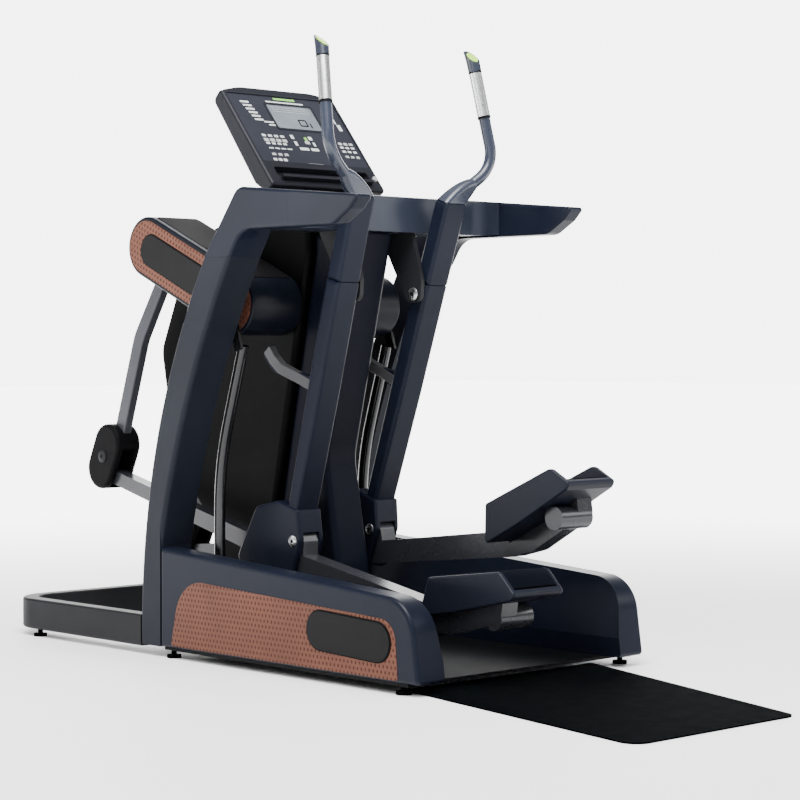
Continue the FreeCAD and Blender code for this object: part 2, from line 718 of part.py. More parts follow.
def make_arm_pivots():
    """A lug under the crossbar inside each arm, with a fixed pin that enters the arm."""
    py = size("arm_pivot_y")
    pz = size("arm_pivot_z")
    top = size("bar_under")
    thick = size("lug_thick")
    face = size("arm_offset") - size("arm_wide") / 2 - size("lug_gap")
    lugs = []
    pins = []
    outline = Part.Wire([s.toShape() for s in rounded(
        [(py - 26, pz - 24, 24), (py + 28, pz - 26, 24), (py + 150, top), (py + 10, top),
         (py - 30, pz + 40, 40)])])
    for side, sign in SIDES:
        start = face - thick if sign > 0 else -face
        plate = Part.Face(outline).extrude(FreeCAD.Vector(0, 0, thick))
        plate.Placement = FreeCAD.Placement(FreeCAD.Vector(start, 0, 0),
                                            FreeCAD.Rotation(FreeCAD.Vector(1, 1, 1), 120))
        hole = lying(start - 1, py, pz, size("arm_pin_radius"), thick + 2)
        lugs.append(plate.cut(hole))
        span = thick + 3 + size("lug_gap") + size("arm_wide") - size("arm_cheek") - 2
        begin = face - thick - 3
        pins.append(lying(begin if sign > 0 else -begin - span, py, pz,
                          size("arm_pin_radius"), span))
    group("arm_lugs", lugs)
    group("arm_pins", pins)


def make_arm(side, sign):
    back = -size("arm_back")
    seam = size("arm_seam")
    low = -size("arm_length")
    half = size("arm_wide") / 2

    body = piece(side + "_arm")
    outline = [(back, seam, 3), (back - 3, -300, 400), (back, low), (size("arm_front_low"), low),
               (size("arm_front_top"), -40, 200), (size("arm_front_top") - 2, seam, 3)]
    pad(body, "YZ_Plane", rounded(outline), cell("arm_wide"))
    soften(body, 11, lambda e: e.BoundBox.XLength < 0.01 and e.BoundBox.ZLength > 200
           and abs(abs(e.BoundBox.XMin) - half) < 0.1)
    strap = [(10, -262), (100, -270, 60), (205, -270, 60), (262, -240, 12), (278, -262, 12),
             (215, -299, 60), (100, -299, 60), (10, -320)]
    pad(body, "YZ_Plane", rounded(strap), "22")
    bore(body, 0, 0, "%s + %s" % (cell("arm_pin_radius"), cell("running_gap")),
         "%s - %s" % (cell("arm_wide"), cell("arm_cheek")), "up" if sign > 0 else "down",
         "YZ_Plane", "%d * %s / 2" % (-sign, cell("arm_wide")))
    settle(body, sign, "arm")

    cover = piece(side + "_arm_cover")
    top = size("cover_top")
    base = seam + size("seat_gap")
    outline = [(back, base, 3), (back + 1, top, 6), (size("arm_front_top") - 4, top, 6),
               (size("arm_front_top") - 2, base, 3)]
    pad(cover, "YZ_Plane", rounded(outline), cell("arm_wide"))
    soften(cover, 11, lambda e: e.BoundBox.XLength < 0.01 and e.BoundBox.ZLength > 100
           and abs(abs(e.BoundBox.XMin) - half) < 0.1)
    settle(cover, sign, "arm")


def make_arm_foot(side, sign):
    """Fork at the arm's lower end, with a forward fin that hides the lever's root."""
    body = piece(side + "_arm_foot")
    low = -size("arm_length") - size("seat_gap")
    hinge_y = -size("hinge_back")
    hinge_z = -size("hinge_drop")
    outline = [(-32, low, 4), (60, low, 10), (150, low - 46, 34), (196, low - 225, 26),
               (120, low - 252, 30), (-62, low - 215, 40), (-66, low - 80, 40)]
    pad(body, "YZ_Plane", rounded(outline), cell("foot_wide"))
    half = size("foot_wide") / 2
    soften(body, 9, lambda e: e.BoundBox.XLength < 0.01 and abs(abs(e.BoundBox.XMin) - half) < 0.1)
    ceiling = hinge_z + 34
    slot = [(-200, ceiling - 14), (-20, ceiling), (260, ceiling - 25), (260, -1200),
            (-200, -1200)]
    pocket(body, "YZ_Plane", rounded(slot), cell("fork_gap"))
    round_pad(body, hinge_y, hinge_z, cell("lever_pin_radius"), "%s - 2" % cell("foot_wide"))
    settle(body, sign, "arm")


def handle_points(sign):
    """Outside of the neck, the bend and the tip of the handle, in the arm's frame."""
    neck = FreeCAD.Vector(0, 0, size("cover_top"))
    bend = FreeCAD.Vector(sign * size("handle_out"), 2, size("handle_bend_up"))
    tip = FreeCAD.Vector(sign * size("handle_top_out"), size("handle_top_fwd"),
                         size("handle_top_up"))
    return neck, bend, tip


def make_handle(side, sign):
    neck, bend, tip = handle_points(1)
    radius = size("handle_radius")
    along = (bend - neck).normalize()
    up = (tip - bend).normalize()
    run = 62
    begin = neck + along * 70
    start = bend - along * run
    end = bend + up * run
    turn = (neck - bend).getAngle(tip - bend)
    curve = run * math.tan(turn / 2)
    into = (up - along).normalize()
    middle = bend + into * (curve / math.sin(turn / 2))
    crown = middle + (bend - middle).normalize() * curve
    path = Part.Wire([Part.makeLine(begin, start), Part.Arc(start, crown, end).toShape(),
                      Part.makeLine(end, tip)])
    tube = path.makePipeShell([Part.Wire(Part.makeCircle(radius, begin, along))], True, False)

    # flared neck: from the arm cover's oblong top to the round tube
    half = size("arm_wide") / 2 - 1
    back = size("arm_back") - 2
    front = size("arm_front_top") - 6
    base = neck + FreeCAD.Vector(0, 0, size("seat_gap"))
    flat = Part.Wire([s.toShape() for s in rounded(
        [(-half, -back, 14), (half, -back, 14), (half, front, 14), (-half, front, 14)])])
    flat.Placement = FreeCAD.Placement(base, FreeCAD.Rotation())
    lean = FreeCAD.Rotation(FreeCAD.Vector(0, 0, 1), along)
    oval = Part.Wire([s.toShape() for s in rounded(
        [(-30, -21, 15), (30, -21, 15), (30, 21, 15), (-30, 21, 15)])])
    oval.Placement = FreeCAD.Placement(neck + along * 42 + FreeCAD.Vector(0, 0, 3),
                                       FreeCAD.Rotation(FreeCAD.Vector(0, 1, 0), 36))
    last = Part.Wire([s.toShape() for s in rounded(
        [(-radius, -radius, radius), (radius, -radius, radius), (radius, radius, radius),
         (-radius, radius, radius)])])
    last.Placement = FreeCAD.Placement(begin + along * 22, lean)
    flare = Part.makeLoft([flat, oval, last], True, False)

    # switch head: the end swells forward into a beak, cut slanted for the thumb button
    round_end = radius + 2.5
    rings = []
    for rise, ahead, corner in ((-28, 0, 1), (8, 1, 0.96), (52, size("head_reach"), 0.86)):
        side_to = round_end * (1 if rise < 50 else 0.93)
        ring = Part.Wire([s.toShape() for s in rounded(
            [(-side_to, -round_end, round_end * corner),
             (side_to, -round_end, round_end * corner),
             (side_to, round_end + ahead, round_end * corner),
             (-side_to, round_end + ahead, round_end * corner)])])
        ring.Placement = FreeCAD.Placement(
            tip + up * rise, FreeCAD.Rotation(FreeCAD.Vector(0, 0, 1), up))
        rings.append(ring)
    made = tube.fuse([flare, Part.makeLoft(rings, True, False)])
    spot, normal = button_place(1)
    slab = Part.makeCylinder(90, 90, spot, normal)
    made = made.cut(slab)
    made = made.cut(oval_prism(spot, normal, 0.4, 7, -7)).removeSplitter()
    handle = doc.addObject("Part::Feature", side + "_handle")
    handle.Label = side + "_handle"
    handle.Shape = made if sign > 0 else made.mirror(FreeCAD.Vector(0, 0, 0), X_AXIS)
    settle(handle, sign, "arm")
    pieces.append(handle)

    neck, bend, tip = handle_points(sign)
    up = (tip - bend).normalize()
    spot, normal = button_place(sign)
    grip = doc.addObject("Part::Feature", side + "_grip")
    grip.Label = side + "_grip"
    low = bend + up * 150
    skin = Part.makeCylinder(size("grip_radius"), 132, low, up)
    hole = Part.makeCylinder(radius + 0.1, 140, low - up * 4, up)
    grip.Shape = skin.cut(hole)
    settle(grip, sign, "arm")
    pieces.append(grip)

    button = doc.addObject("Part::Feature", side + "_thumb_button")
    button.Label = side + "_thumb_button"
    cap = oval_prism(spot, normal, 0, size("button_thick"), -size("button_deep"))
    top = size("button_thick") - size("button_deep") - 0.1
    rim = [e for e in cap.Edges if (e.CenterOfMass - spot).dot(normal) > top]
    button.Shape = cap.makeFillet(1.5, rim[:1])
    settle(button, sign, "arm")
    pieces.append(button)


def button_place(sign):
    """Middle and outward direction of the slanted face under a thumb button."""
    neck, bend, tip = handle_points(sign)
    up = (tip - bend).normalize()
    back = FreeCAD.Vector(0, -1, 0)
    normal = (up * 0.8 + back * 0.62).normalize()
    return tip + up * 17, normal


def oval_prism(spot, normal, extra, length, start):
    """Oval plug square to a slanted face, longest the way that face slopes."""
    slope = FreeCAD.Vector(1, 0, 0).cross(normal).normalize()
    oval = Part.Ellipse(FreeCAD.Vector(0, 0, 0), size("button_long") + extra,
                        size("button_wide") + extra)
    face = Part.Face(Part.Wire(oval.toShape()))
    frame = FreeCAD.Rotation(slope, normal.cross(slope), normal, "XZY")
    face.Placement = FreeCAD.Placement(spot + normal * start, frame)
    return face.extrude(normal * length)


# ------------------------------------------------------------------- levers and pedals

def make_lever(side, sign):
    body = piece(side + "_lever")
    deep = size("lever_deep") / 2
    thin = size("link_deep") / 2
    reach = size("lever_reach")
    rear = [(30, -66 + deep - 8, 6), (30, -66 - deep, 6), (-560, -94 - deep, 30),
            (-650, -122, 60), (-790, -66, 40), (-838, -36, 14), (-838, 7.9), (-700, -46.4),
            (-559.7, -92.4), (-565.6, -94 + deep)]
    pad(body, "YZ_Plane", rounded(rear), cell("lever_wide"))
    eye = 21
    front = [(20, -66 - thin, 2), (220, -52 - thin, 60), (reach, 14 - eye, 2),
             (reach, 14 + eye, 2), (220, -52 + thin, 60), (20, -66 + thin, 2)]
    pad(body, "YZ_Plane", rounded(front), cell("link_wide"))
    round_pad(body, reach, 14, str(eye), cell("link_wide"))
    lug = [(-30, -60), (-26, 0, 20), (-14, 26, 18), (14, 26, 18), (26, 0, 20), (30, -60)]
    pad(body, "YZ_Plane", rounded(lug), "%s - 4" % cell("lever_wide"))
    bore(body, 0, 0, "%s + %s" % (cell("lever_pin_radius"), cell("running_gap")))
    middle = "%d * (%s - %s)" % (-sign, cell("arm_offset"), cell("pedal_offset"))
    round_pad(body, -806, -40.5, cell("boss_radius"), cell("boss_long"), "both", middle)
    settle(body, sign, "lever")


def make_pedal(side, sign):
    body = piece(side + "_pedal")
    wall = size("pedal_wall")
    base = [(-580, 24, 10), (-841, 97, 26), (-908, 47, 12), (-893, 30, 8), (-700, -46, 30),
            (-560, -92, 12)]
    pad(body, "YZ_Plane", rounded(base), cell("pedal_wide"))
    half = size("pedal_wide") / 2
    soften(body, 6, lambda e: e.BoundBox.XLength < 0.01 and abs(abs(e.BoundBox.XMin) - half) < 0.1)
    trough = [(-592, 120), (-580 - wall, -62, 10), (-901, 62), (-1000, 95), (-1000, 200),
              (-592, 200)]
    pocket(body, "YZ_Plane", rounded(trough), "%s - 2 * %s" % (
        cell("pedal_wide"), cell("pedal_wall")))
    settle(body, sign, "lever", "pedal_offset")


def make_pedal_pad(side, sign):
    body = piece(side + "_pedal_pad")
    thick = size("pad_thick")
    gap = size("seat_gap")
    start = (-580 - size("pedal_wall") - 16, -62 + 6.46 + 1.08 * gap)
    rise = (62 + 62) / (901 - 580 - size("pedal_wall"))
    end = (-886, start[1] + rise * (886 + start[0]))
    outline = [start, end, (end[0], end[1] + thick), (start[0], start[1] + thick)]
    pad(body, "YZ_Plane", rounded(outline), "%s - 2 * %s - 6" % (
        cell("pedal_wide"), cell("pedal_wall")))
    settle(body, sign, "lever", "pedal_offset")


# --------------------------------------------------------------- rockers and hangers

def stadium(reach, radius):
    v = FreeCAD.Vector
    return [Part.Arc(v(0, radius, 0), v(-radius, 0, 0), v(0, -radius, 0)),
            Part.LineSegment(v(0, -radius, 0), v(reach, -radius, 0)),
            Part.Arc(v(reach, -radius, 0), v(reach + radius, 0, 0), v(reach, radius, 0)),
            Part.LineSegment(v(reach, radius, 0), v(0, radius, 0))]


def make_pod(side, sign):
    """Round-ended rocker housing, open underneath where the hanger swings."""
    body = piece(side + "_pod")
    reach = size("rocker_reach")
    radius = size("pod_radius")
    half = size("pod_wide") / 2
    pad(body, "YZ_Plane", stadium(reach, radius), cell("pod_wide"))
    soften(body, 7, lambda e: e.BoundBox.XLength < 0.01 and abs(abs(e.BoundBox.XMin) - half) < 0.1)
    wall = size("pod_wall") + 2
    pocket(body, "YZ_Plane", stadium(reach, radius - wall),
           "%s - 2 * %s" % (cell("pod_wide"), cell("pod_wall")))
    round_pad(body, 0, 0, "30", "%s - 4" % cell("pod_wide"))
    shift = "%d * (%s - %s)" % (-sign, cell("pod_offset"), cell("arm_offset"))
    slot = [(reach - 40, -20), (reach - 70, -140), (reach + 140, -140), (reach + 140, -60),
            (reach + 62, -2)]
    drawn = sketch(body, "YZ_Plane", shift)
    draw(drawn, rounded(slot))
    feature(body, "Pocket", drawn, "%s + 14" % cell("hanger_wide"), "both")
    round_pad(body, reach, 0, "10", "%s - 4" % cell("pod_wide"))
    bore(body, 0, 0, "%s + %s" % (cell("shaft_radius"), cell("running_gap")))
    settle(body, sign, "rocker", "pod_offset")

    panel = piece(side + "_pod_panel")
    drawn = sketch(panel, "YZ_Plane")
    draw(drawn, stadium(reach, radius - 12))
    circle(drawn, 0, 0, "%s + 4" % cell("shaft_radius"))
    feature(panel, "Pad", drawn, "2.4", "down" if sign < 0 else "up")
    settle(panel, sign, "rocker", "pod_offset")
    panel.setExpression("Placement.Base.x", "%d * (%s + %s / 2)" % (
        sign, cell("pod_offset"), cell("pod_wide")))


def make_hanger(side, sign):
    body = piece(side + "_hanger")
    length = size("hanger_length")
    bend = size("hanger_bend")
    half = size("hanger_deep") / 2
    knee = -330
    low = -(length - 108)
    ratio = (length + low) / (length + knee)
    foot = bend * ratio
    outline = [(-half + 4, 0), (bend - half, knee, 160), (foot - half, low), (foot + half, low),
               (bend + half, knee, 160), (half - 4, 0)]
    pad(body, "YZ_Plane", rounded(outline), cell("hanger_wide"))
    soften(body, 5, lambda e: e.BoundBox.XLength < 0.01 and e.BoundBox.ZLength > 60)
    round_pad(body, 0, 0, "24", cell("hanger_wide"))
    bore(body, 0, 0, "10 + %s" % cell("running_gap"))
    settle(body, sign, "hanger")

    block = piece(side + "_pivot_block")
    radius = size("block_radius")
    ahead = 25
    top = -(length - 96)
    bottom = -(length - 12)
    v = FreeCAD.Vector
    outline = [Part.Arc(v(ahead - radius, top, 0), v(ahead, top + radius, 0),
                        v(ahead + radius, top, 0)),
               Part.LineSegment(v(ahead + radius, top, 0), v(ahead + radius, bottom, 0)),
               Part.Arc(v(ahead + radius, bottom, 0), v(ahead, bottom - radius, 0),
                        v(ahead - radius, bottom, 0)),
               Part.LineSegment(v(ahead - radius, bottom, 0), v(ahead - radius, top, 0))]
    pad(block, "YZ_Plane", outline, cell("block_wide"))
    edge = size("block_wide") / 2
    soften(block, 12, lambda e: e.BoundBox.XLength < 0.01
           and abs(abs(e.BoundBox.XMin) - edge) < 0.1)
    room = [(-200, -length - 47), (48, -length - 47, 10), (50, -length + 40, 30),
            (-18, -length + 92, 20), (-200, -length + 260)]
    pocket(block, "YZ_Plane", rounded(room), "%s + 7" % cell("link_wide"))
    lean = 200 * (bend - foot) / (knee - low)
    clear = half + 0.4
    socket = [(foot + lean - clear, low + 200), (foot - clear, low - 0.3),
              (foot + clear, low - 0.3), (foot + lean + clear, low + 200)]
    pocket(block, "YZ_Plane", rounded(socket), "%s + 0.6" % cell("hanger_wide"))
    settle(block, sign, "hanger")


# -------------------------------------------------------------------------- console

def make_console():
    """Tilted console; its own frame has Y up the face and Z out of it."""
    tilt = size("console_tilt")
    place_at = FreeCAD.Placement(
        FreeCAD.Vector(0, size("console_foot_y"), size("console_foot_z")),
        FreeCAD.Rotation(X_AXIS, tilt))
    wide = size("console_wide")
    deep = size("console_deep")
    thick = size("console_thick")

    def console_piece(name):
        body = piece(name)
        body.Placement = place_at
        body.setExpression("Placement.Base.y", cell("console_foot_y"))
        body.setExpression("Placement.Base.z", cell("console_foot_z"))
        body.setExpression("Placement.Rotation.Angle", cell("console_tilt"))
        return body

    def plate(x0, y0, x1, y1, corner):
        return rounded([(x0, y0, corner), (x1, y0, corner), (x1, y1, corner), (x0, y1, corner)])

    half = wide / 2
    shell = console_piece("console_housing")
    side_line = [(0, -4, 10), (deep, 0, 14), (deep - 4, -thick + 8, 20), (60, -thick - 8, 30),
                 (4, -thick + 14, 16)]
    pad(shell, "YZ_Plane", rounded(side_line), cell("console_wide"))
    soften(shell, 9, lambda e: e.BoundBox.XLength < 0.01 and abs(abs(e.BoundBox.XMin) - half) < 0.1)
    crown = deep + size("console_crown")
    pad(shell, "XY_Plane", rounded([(-half + 5, deep - 40), (half - 5, deep - 40),
                                    (half - 5, deep - 6, 14), (half - 80, crown, 160),
                                    (80 - half, crown, 160), (-half + 5, deep - 6, 14)]),
        "22", "up", "-24")
    pocket(shell, "XY_Plane", plate(-half + 14, 96, half - 14, deep - 14, 10),
           "%s + 4" % cell("panel_thick"), "down")
    pocket(shell, "XY_Plane", plate(-half + 40, 34, half - 40, 74, 8), "24", "down")
    bore(shell, half - 22, 46, "9.4", "14", "down", "XY_Plane")

    face = console_piece("console_face")
    gap = size("seat_gap")
    drawn = sketch(face, "XY_Plane", "-%s - 4" % cell("panel_thick"))
    draw(drawn, plate(-half + 14 + gap, 96 + gap, half - 14 - gap, deep - 14 - gap, 10))
    draw(drawn, plate(-74, 240, 108, 342, 8))
    feature(face, "Pad", drawn, cell("panel_thick"), "up")

    screen = console_piece("display_screen")
    pad(screen, "XY_Plane", plate(-73.5, 240.5, 107.5, 341.5, 8),
        "%s - 0.6" % cell("panel_thick"), "up", "-%s - 3.8" % cell("panel_thick"))

    ledge = console_piece("reading_ledge")
    pad(ledge, "XY_Plane", plate(-half + 46, 22, half - 46, 33.6, 3), "14", "up", "-3.3")

    knob = console_piece("start_button")
    round_pad(knob, half - 22, 46, "9", "10", "down", "3", "XY_Plane")

    keys = []
    base = -size("panel_thick") - 3.2
    rows = ((178, 20, (-162, -138, -114, -90, 0)), (120, 16, (-162, -138, -114)),
            (186, 16, (138, 160, 182)), (132, 14, (138, 160, 182)))
    for y, side, columns in rows:
        for x in columns:
            key = Part.makeBox(side * 0.86, side * 0.6, 2.4, FreeCAD.Vector(x, y, base + 2.5))
            keys.append(key)
    pad_keys = group("console_keys", keys)
    pad_keys.Placement = place_at

    neck = piece("console_neck")
    start = size("deck_front") + gap
    top = size("rail_top") - 52

    def under(up, out):
        y, z = turned(up, out - gap, tilt)
        return y + size("console_foot_y"), z + size("console_foot_z")

    outline = [(start, top), (start, top - 60), (start + 40, top - 56, 40),
               under(92, -thick - 30) + (30,), under(60, -thick - 8), under(10, -thick + 11.6)]
    pad(neck, "YZ_Plane", rounded(outline), "260")
    place(neck)


def make_mat():
    body = piece("step_mat")
    edge = size("half_width") - size("mat_inset")
    rear = 120 - size("mat_long")
    outline = [(-edge, 120, 10), (-edge - 195, rear, 45), (edge - 355, rear, 45),
               (edge - 25, 120, 10)]
    pad(body, "XY_Plane", rounded(outline), cell("mat_thick"), "up")
    place(body)


# ---------------------------------------------------------------------------- build

make_front_frame()
make_base_rails()
make_feet()
make_side_panels()
make_deck()
make_mast()
make_drive()
make_stays()
make_arm_pivots()
make_console()
make_mat()
for side, sign in SIDES:
    make_side(side, sign)
    make_upright(side, sign)
    make_shoulder(side, sign)
    make_rail_end(side, sign)
    make_shroud(side, sign)
    make_arm(side, sign)
    make_arm_foot(side, sign)
    make_handle(side, sign)
    make_lever(side, sign)
    make_pedal(side, sign)
    make_pedal_pad(side, sign)
    make_pod(side, sign)
    make_hanger(side, sign)
doc.recompute()

faults = [o.Name for o in doc.Objects if "Invalid" in o.State or "Error" in o.State]
for made in pieces:
    if made.Shape.isNull() or not made.Shape.isValid():
        faults.append(made.Label)
if faults:
    raise RuntimeError("failed: " + ", ".join(sorted(set(faults))))
os.makedirs("parts", exist_ok=True)
for made in pieces:
    made.Shape.exportStep("parts/%s.step" % made.Label)
    print("%-22s solids %d volume %.0f" % (made.Label, len(made.Shape.Solids),
                                           made.Shape.Volume))
print(len(pieces), "sub-parts")
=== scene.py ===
import json
import math

import bmesh
import bpy
from bpy.props import FloatProperty, FloatVectorProperty, IntProperty, PointerProperty
from mathutils import Matrix, Vector


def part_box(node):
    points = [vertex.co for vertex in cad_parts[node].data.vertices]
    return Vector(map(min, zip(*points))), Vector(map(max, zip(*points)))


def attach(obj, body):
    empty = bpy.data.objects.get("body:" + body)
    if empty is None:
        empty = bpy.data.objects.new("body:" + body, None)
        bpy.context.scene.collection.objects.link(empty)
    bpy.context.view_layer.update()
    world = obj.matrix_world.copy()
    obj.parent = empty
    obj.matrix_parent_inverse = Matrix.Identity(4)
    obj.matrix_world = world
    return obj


bl_info = {
    "name": "Stair Climber Dressing",
    "version": (1, 0, 0),
    "blender": (4, 5, 0),
    "location": "3D View > Sidebar > Climber",
    "description": "Finishes and small fittings for a stair climber with swinging arms",
    "category": "Add Mesh",
}

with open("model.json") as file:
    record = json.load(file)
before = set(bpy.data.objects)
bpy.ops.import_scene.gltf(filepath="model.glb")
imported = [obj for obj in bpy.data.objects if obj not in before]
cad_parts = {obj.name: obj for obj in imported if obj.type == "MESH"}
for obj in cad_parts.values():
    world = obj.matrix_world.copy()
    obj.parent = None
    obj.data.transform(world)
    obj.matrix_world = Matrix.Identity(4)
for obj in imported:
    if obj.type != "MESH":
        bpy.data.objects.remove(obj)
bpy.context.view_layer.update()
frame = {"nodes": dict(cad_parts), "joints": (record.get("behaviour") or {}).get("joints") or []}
SIDES = (("left", -1), ("right", 1))
ACROSS = Vector((1, 0, 0))

CAMERA_PLACE = (-4.528, -4.244, 0.914)
CAMERA_PITCH = math.radians(1.34)

# The stop strap's middle line, forward and up from the arm's pivot, in metres.
STRAP_LINE = ((0.030, -0.290), (0.062, -0.2895), (0.100, -0.2860), (0.150, -0.2835),
              (0.195, -0.2800), (0.232, -0.2640), (0.264, -0.2420))
STRAP_HALF_WIDE = 0.0125
STRAP_HALF_HIGH = 0.0155

# Rows of printed marks on the console: across from the middle, up from the console's
# foot, length, height, number of marks, step across and step up, in metres.
PRINT_ROWS = (
    (-0.154, 0.342, 0.034, 0.0075, 6, 0.004, -0.0145),  # labels beside the display
    (0.009, 0.3515, 0.150, 0.0055, 1, 0.0, 0.0),  # title line
    (-0.098, 0.262, 0.040, 0.006, 1, 0.0, 0.0),
    (-0.090, 0.250, 0.030, 0.006, 1, 0.0, 0.0),
    (0.186, 0.262, 0.014, 0.026, 1, 0.0, 0.0),  # pointer right of the display
    (0.178, 0.288, 0.006, 0.020, 1, 0.0, 0.0),
    (-0.003, 0.0925, 0.058, 0.007, 1, 0.0, 0.0),  # line above the ledge
    (-0.152, 0.203, 0.015, 0.009, 4, 0.024, 0.0),  # names of the left keys
    (-0.152, 0.171, 0.014, 0.008, 4, 0.022, 0.0),
    (-0.150, 0.151, 0.018, 0.005, 4, 0.024, 0.0),
    (-0.040, 0.205, 0.012, 0.016, 1, 0.0, 0.0),  # arrows and blocks in the middle
    (-0.038, 0.178, 0.010, 0.018, 1, 0.0, 0.0),
    (-0.016, 0.157, 0.036, 0.011, 1, 0.0, 0.0),
    (0.026, 0.157, 0.030, 0.011, 1, 0.0, 0.0),
    (0.032, 0.204, 0.014, 0.014, 1, 0.0, 0.0),
    (0.036, 0.180, 0.008, 0.016, 1, 0.0, 0.0),
    (0.146, 0.176, 0.014, 0.008, 3, 0.022, 0.0),  # numbers on the right
    (0.146, 0.159, 0.014, 0.008, 3, 0.022, 0.0),
    (-0.160, 0.104, 0.014, 0.010, 3, 0.020, 0.0),  # marks at the lower left
)
GREEN_ROWS = (
    (0.014, 0.366, 0.086, 0.008, 1, 0.0, 0.0),
    (0.012, 0.196, 0.010, 0.022, 1, 0.0, 0.0),
)
# The same for the display, counted from the middle and the foot of its window.
DIGIT_ROWS = (
    (0.010, 0.030, 0.004, 0.026, 1, 0.0, 0.0),
    (0.024, 0.018, 0.028, 0.004, 1, 0.0, 0.0),
    (0.038, 0.030, 0.004, 0.026, 1, 0.0, 0.0),
    (0.024, 0.042, 0.028, 0.004, 1, 0.0, 0.0),
    (0.052, 0.022, 0.004, 0.020, 1, 0.0, 0.0),
)
GRID_ROWS = ((0.0, 0.072, 0.150, 0.0012, 3, 0.0, 0.009),)


# --------------------------------------------------------------------- settings

class CoverColours(bpy.types.PropertyGroup):
    """Colours of the painted and moulded covers."""

    navy: FloatVectorProperty(
        name="Navy cover", description="Colour of arms, rails and housings",
        subtype="COLOR", size=3, min=0, max=1, default=(0.0050, 0.0068, 0.0140))
    slate: FloatVectorProperty(
        name="Slate cover", description="Colour of the curved uprights",
        subtype="COLOR", size=3, min=0, max=1, default=(0.0075, 0.0092, 0.0145))
    shroud: FloatVectorProperty(
        name="Centre cover", description="Near-black colour of the centre cover",
        subtype="COLOR", size=3, min=0, max=1, default=(0.0012, 0.0013, 0.0015))
    copper: FloatVectorProperty(
        name="Perforated panel", description="Copper-brown colour of the trim panels",
        subtype="COLOR", size=3, min=0, max=1, default=(0.122, 0.044, 0.026))
    link: FloatVectorProperty(
        name="Link paint", description="Grey of levers, hangers and frame tubes",
        subtype="COLOR", size=3, min=0, max=1, default=(0.030, 0.031, 0.037))
    accent: FloatVectorProperty(
        name="Button green", description="Light green of the thumb buttons",
        subtype="COLOR", size=3, min=0, max=1, default=(0.36, 0.62, 0.07))


class PanelPattern(bpy.types.PropertyGroup):
    """Size of the slots in the trim panels."""

    pitch: FloatProperty(
        name="Slot pitch", description="Distance between rows of slots",
        default=0.0155, min=0.004, unit="LENGTH")
    slot_wide: FloatProperty(
        name="Slot width", description="Half-width of a slot, as a share of the pitch",
        default=0.21, min=0.05, max=0.5)
    slot_high: FloatProperty(
        name="Slot height", description="Half-height of a slot, as a share of the pitch",
        default=0.30, min=0.05, max=0.5)


class BadgeSizes(bpy.types.PropertyGroup):
    """Bare round-ended plates on the side panels and pods."""

    side_long: FloatProperty(
        name="Side badge length", description="Length of the plate on a side panel",
        default=0.330, min=0.1, unit="LENGTH")
    side_high: FloatProperty(
        name="Side badge height", description="Height of the plate on a side panel",
        default=0.105, min=0.03, unit="LENGTH")
    pod_long: FloatProperty(
        name="Pod badge length", description="Length of the plate on a pod",
        default=0.400, min=0.1, unit="LENGTH")
    pod_high: FloatProperty(
        name="Pod badge height", description="Height of the plate on a pod",
        default=0.092, min=0.03, unit="LENGTH")
    thick: FloatProperty(
        name="Badge thickness", description="How far a plate stands off its panel",
        default=0.004, min=0.001, unit="LENGTH")


class TreadSizes(bpy.types.PropertyGroup):
    """Ribs of the rubber tread in each pedal."""

    ribs: IntProperty(
        name="Ribs", description="Number of ribs across a tread", default=15, min=3, max=40)
    rib_high: FloatProperty(
        name="Rib height", description="Height of a rib", default=0.0022, min=0.0005,
        unit="LENGTH")


class StageSettings(bpy.types.PropertyGroup):
    """Camera, floor and light."""

    azimuth: FloatProperty(
        name="Camera azimuth", description="Direction the camera looks, from +Y",
        default=math.radians(43.4), subtype="ANGLE")
    lens: FloatProperty(
        name="Lens", description="Focal length of the camera in millimetres",
        default=102.2, min=20, max=300)
    floor_tone: FloatProperty(
        name="Floor tone", description="Brightness of the pale floor",
        default=0.93, min=0, max=1)
    surround: FloatProperty(
        name="Backdrop", description="Brightness of the white backdrop behind the machine",
        default=6.0, min=0)
    room: FloatProperty(
        name="Room", description="Brightness of the rest of the studio",
        default=0.36, min=0)
    dome: FloatProperty(
        name="Sky dome", description="Strength of the even light from above",
        default=3.7, min=0)
    key_power: FloatProperty(
        name="Key light", description="Strength of the overhead light in watts",
        default=360, min=0)


# -------------------------------------------------------------------- materials

def new_material(name):
    """Empty node material with its shader and output."""
    material = bpy.data.materials.new(name)
    material.use_nodes = True
    tree = material.node_tree
    tree.nodes.clear()
    output = tree.nodes.new("ShaderNodeOutputMaterial")
    shader = tree.nodes.new("ShaderNodeBsdfPrincipled")
    tree.links.new(shader.outputs["BSDF"], output.inputs["Surface"])
    return material, tree, shader


def node(tree, kind, **inputs):
    """A node with plain values set on its inputs by name."""
    made = tree.nodes.new(kind)
    for key, value in inputs.items():
        made.inputs[key.replace("_", " ")].default_value = value
    return made


def object_place(tree):
    """Place on the surface in the piece's own frame."""
    return tree.nodes.new("ShaderNodeTexCoord").outputs["Object"]


def noise(tree, place, scale, detail=3.0, rough=0.55):
    """Cloudy noise value."""
    made = node(tree, "ShaderNodeTexNoise", Scale=scale, Detail=detail, Roughness=rough)
    tree.links.new(place, made.inputs["Vector"])
    return made.outputs["Fac"]


def spread(tree, value, low, high):
    """Stretches a 0.35 to 0.65 noise value over low to high."""
    made = node(tree, "ShaderNodeMapRange", From_Min=0.35, From_Max=0.65, To_Min=low,
                To_Max=high)
    tree.links.new(value, made.inputs["Value"])
    return made.outputs["Result"]


def calc(tree, operation, first, second=None):
    """Math node; each input is a socket or a number."""
    made = tree.nodes.new("ShaderNodeMath")
    made.operation = operation
    for slot, value in zip(made.inputs, (first, second)):
        if value is None:
            continue
        if isinstance(value, (int, float)):
            slot.default_value = value
        else:
            tree.links.new(value, slot)
    return made.outputs["Value"]


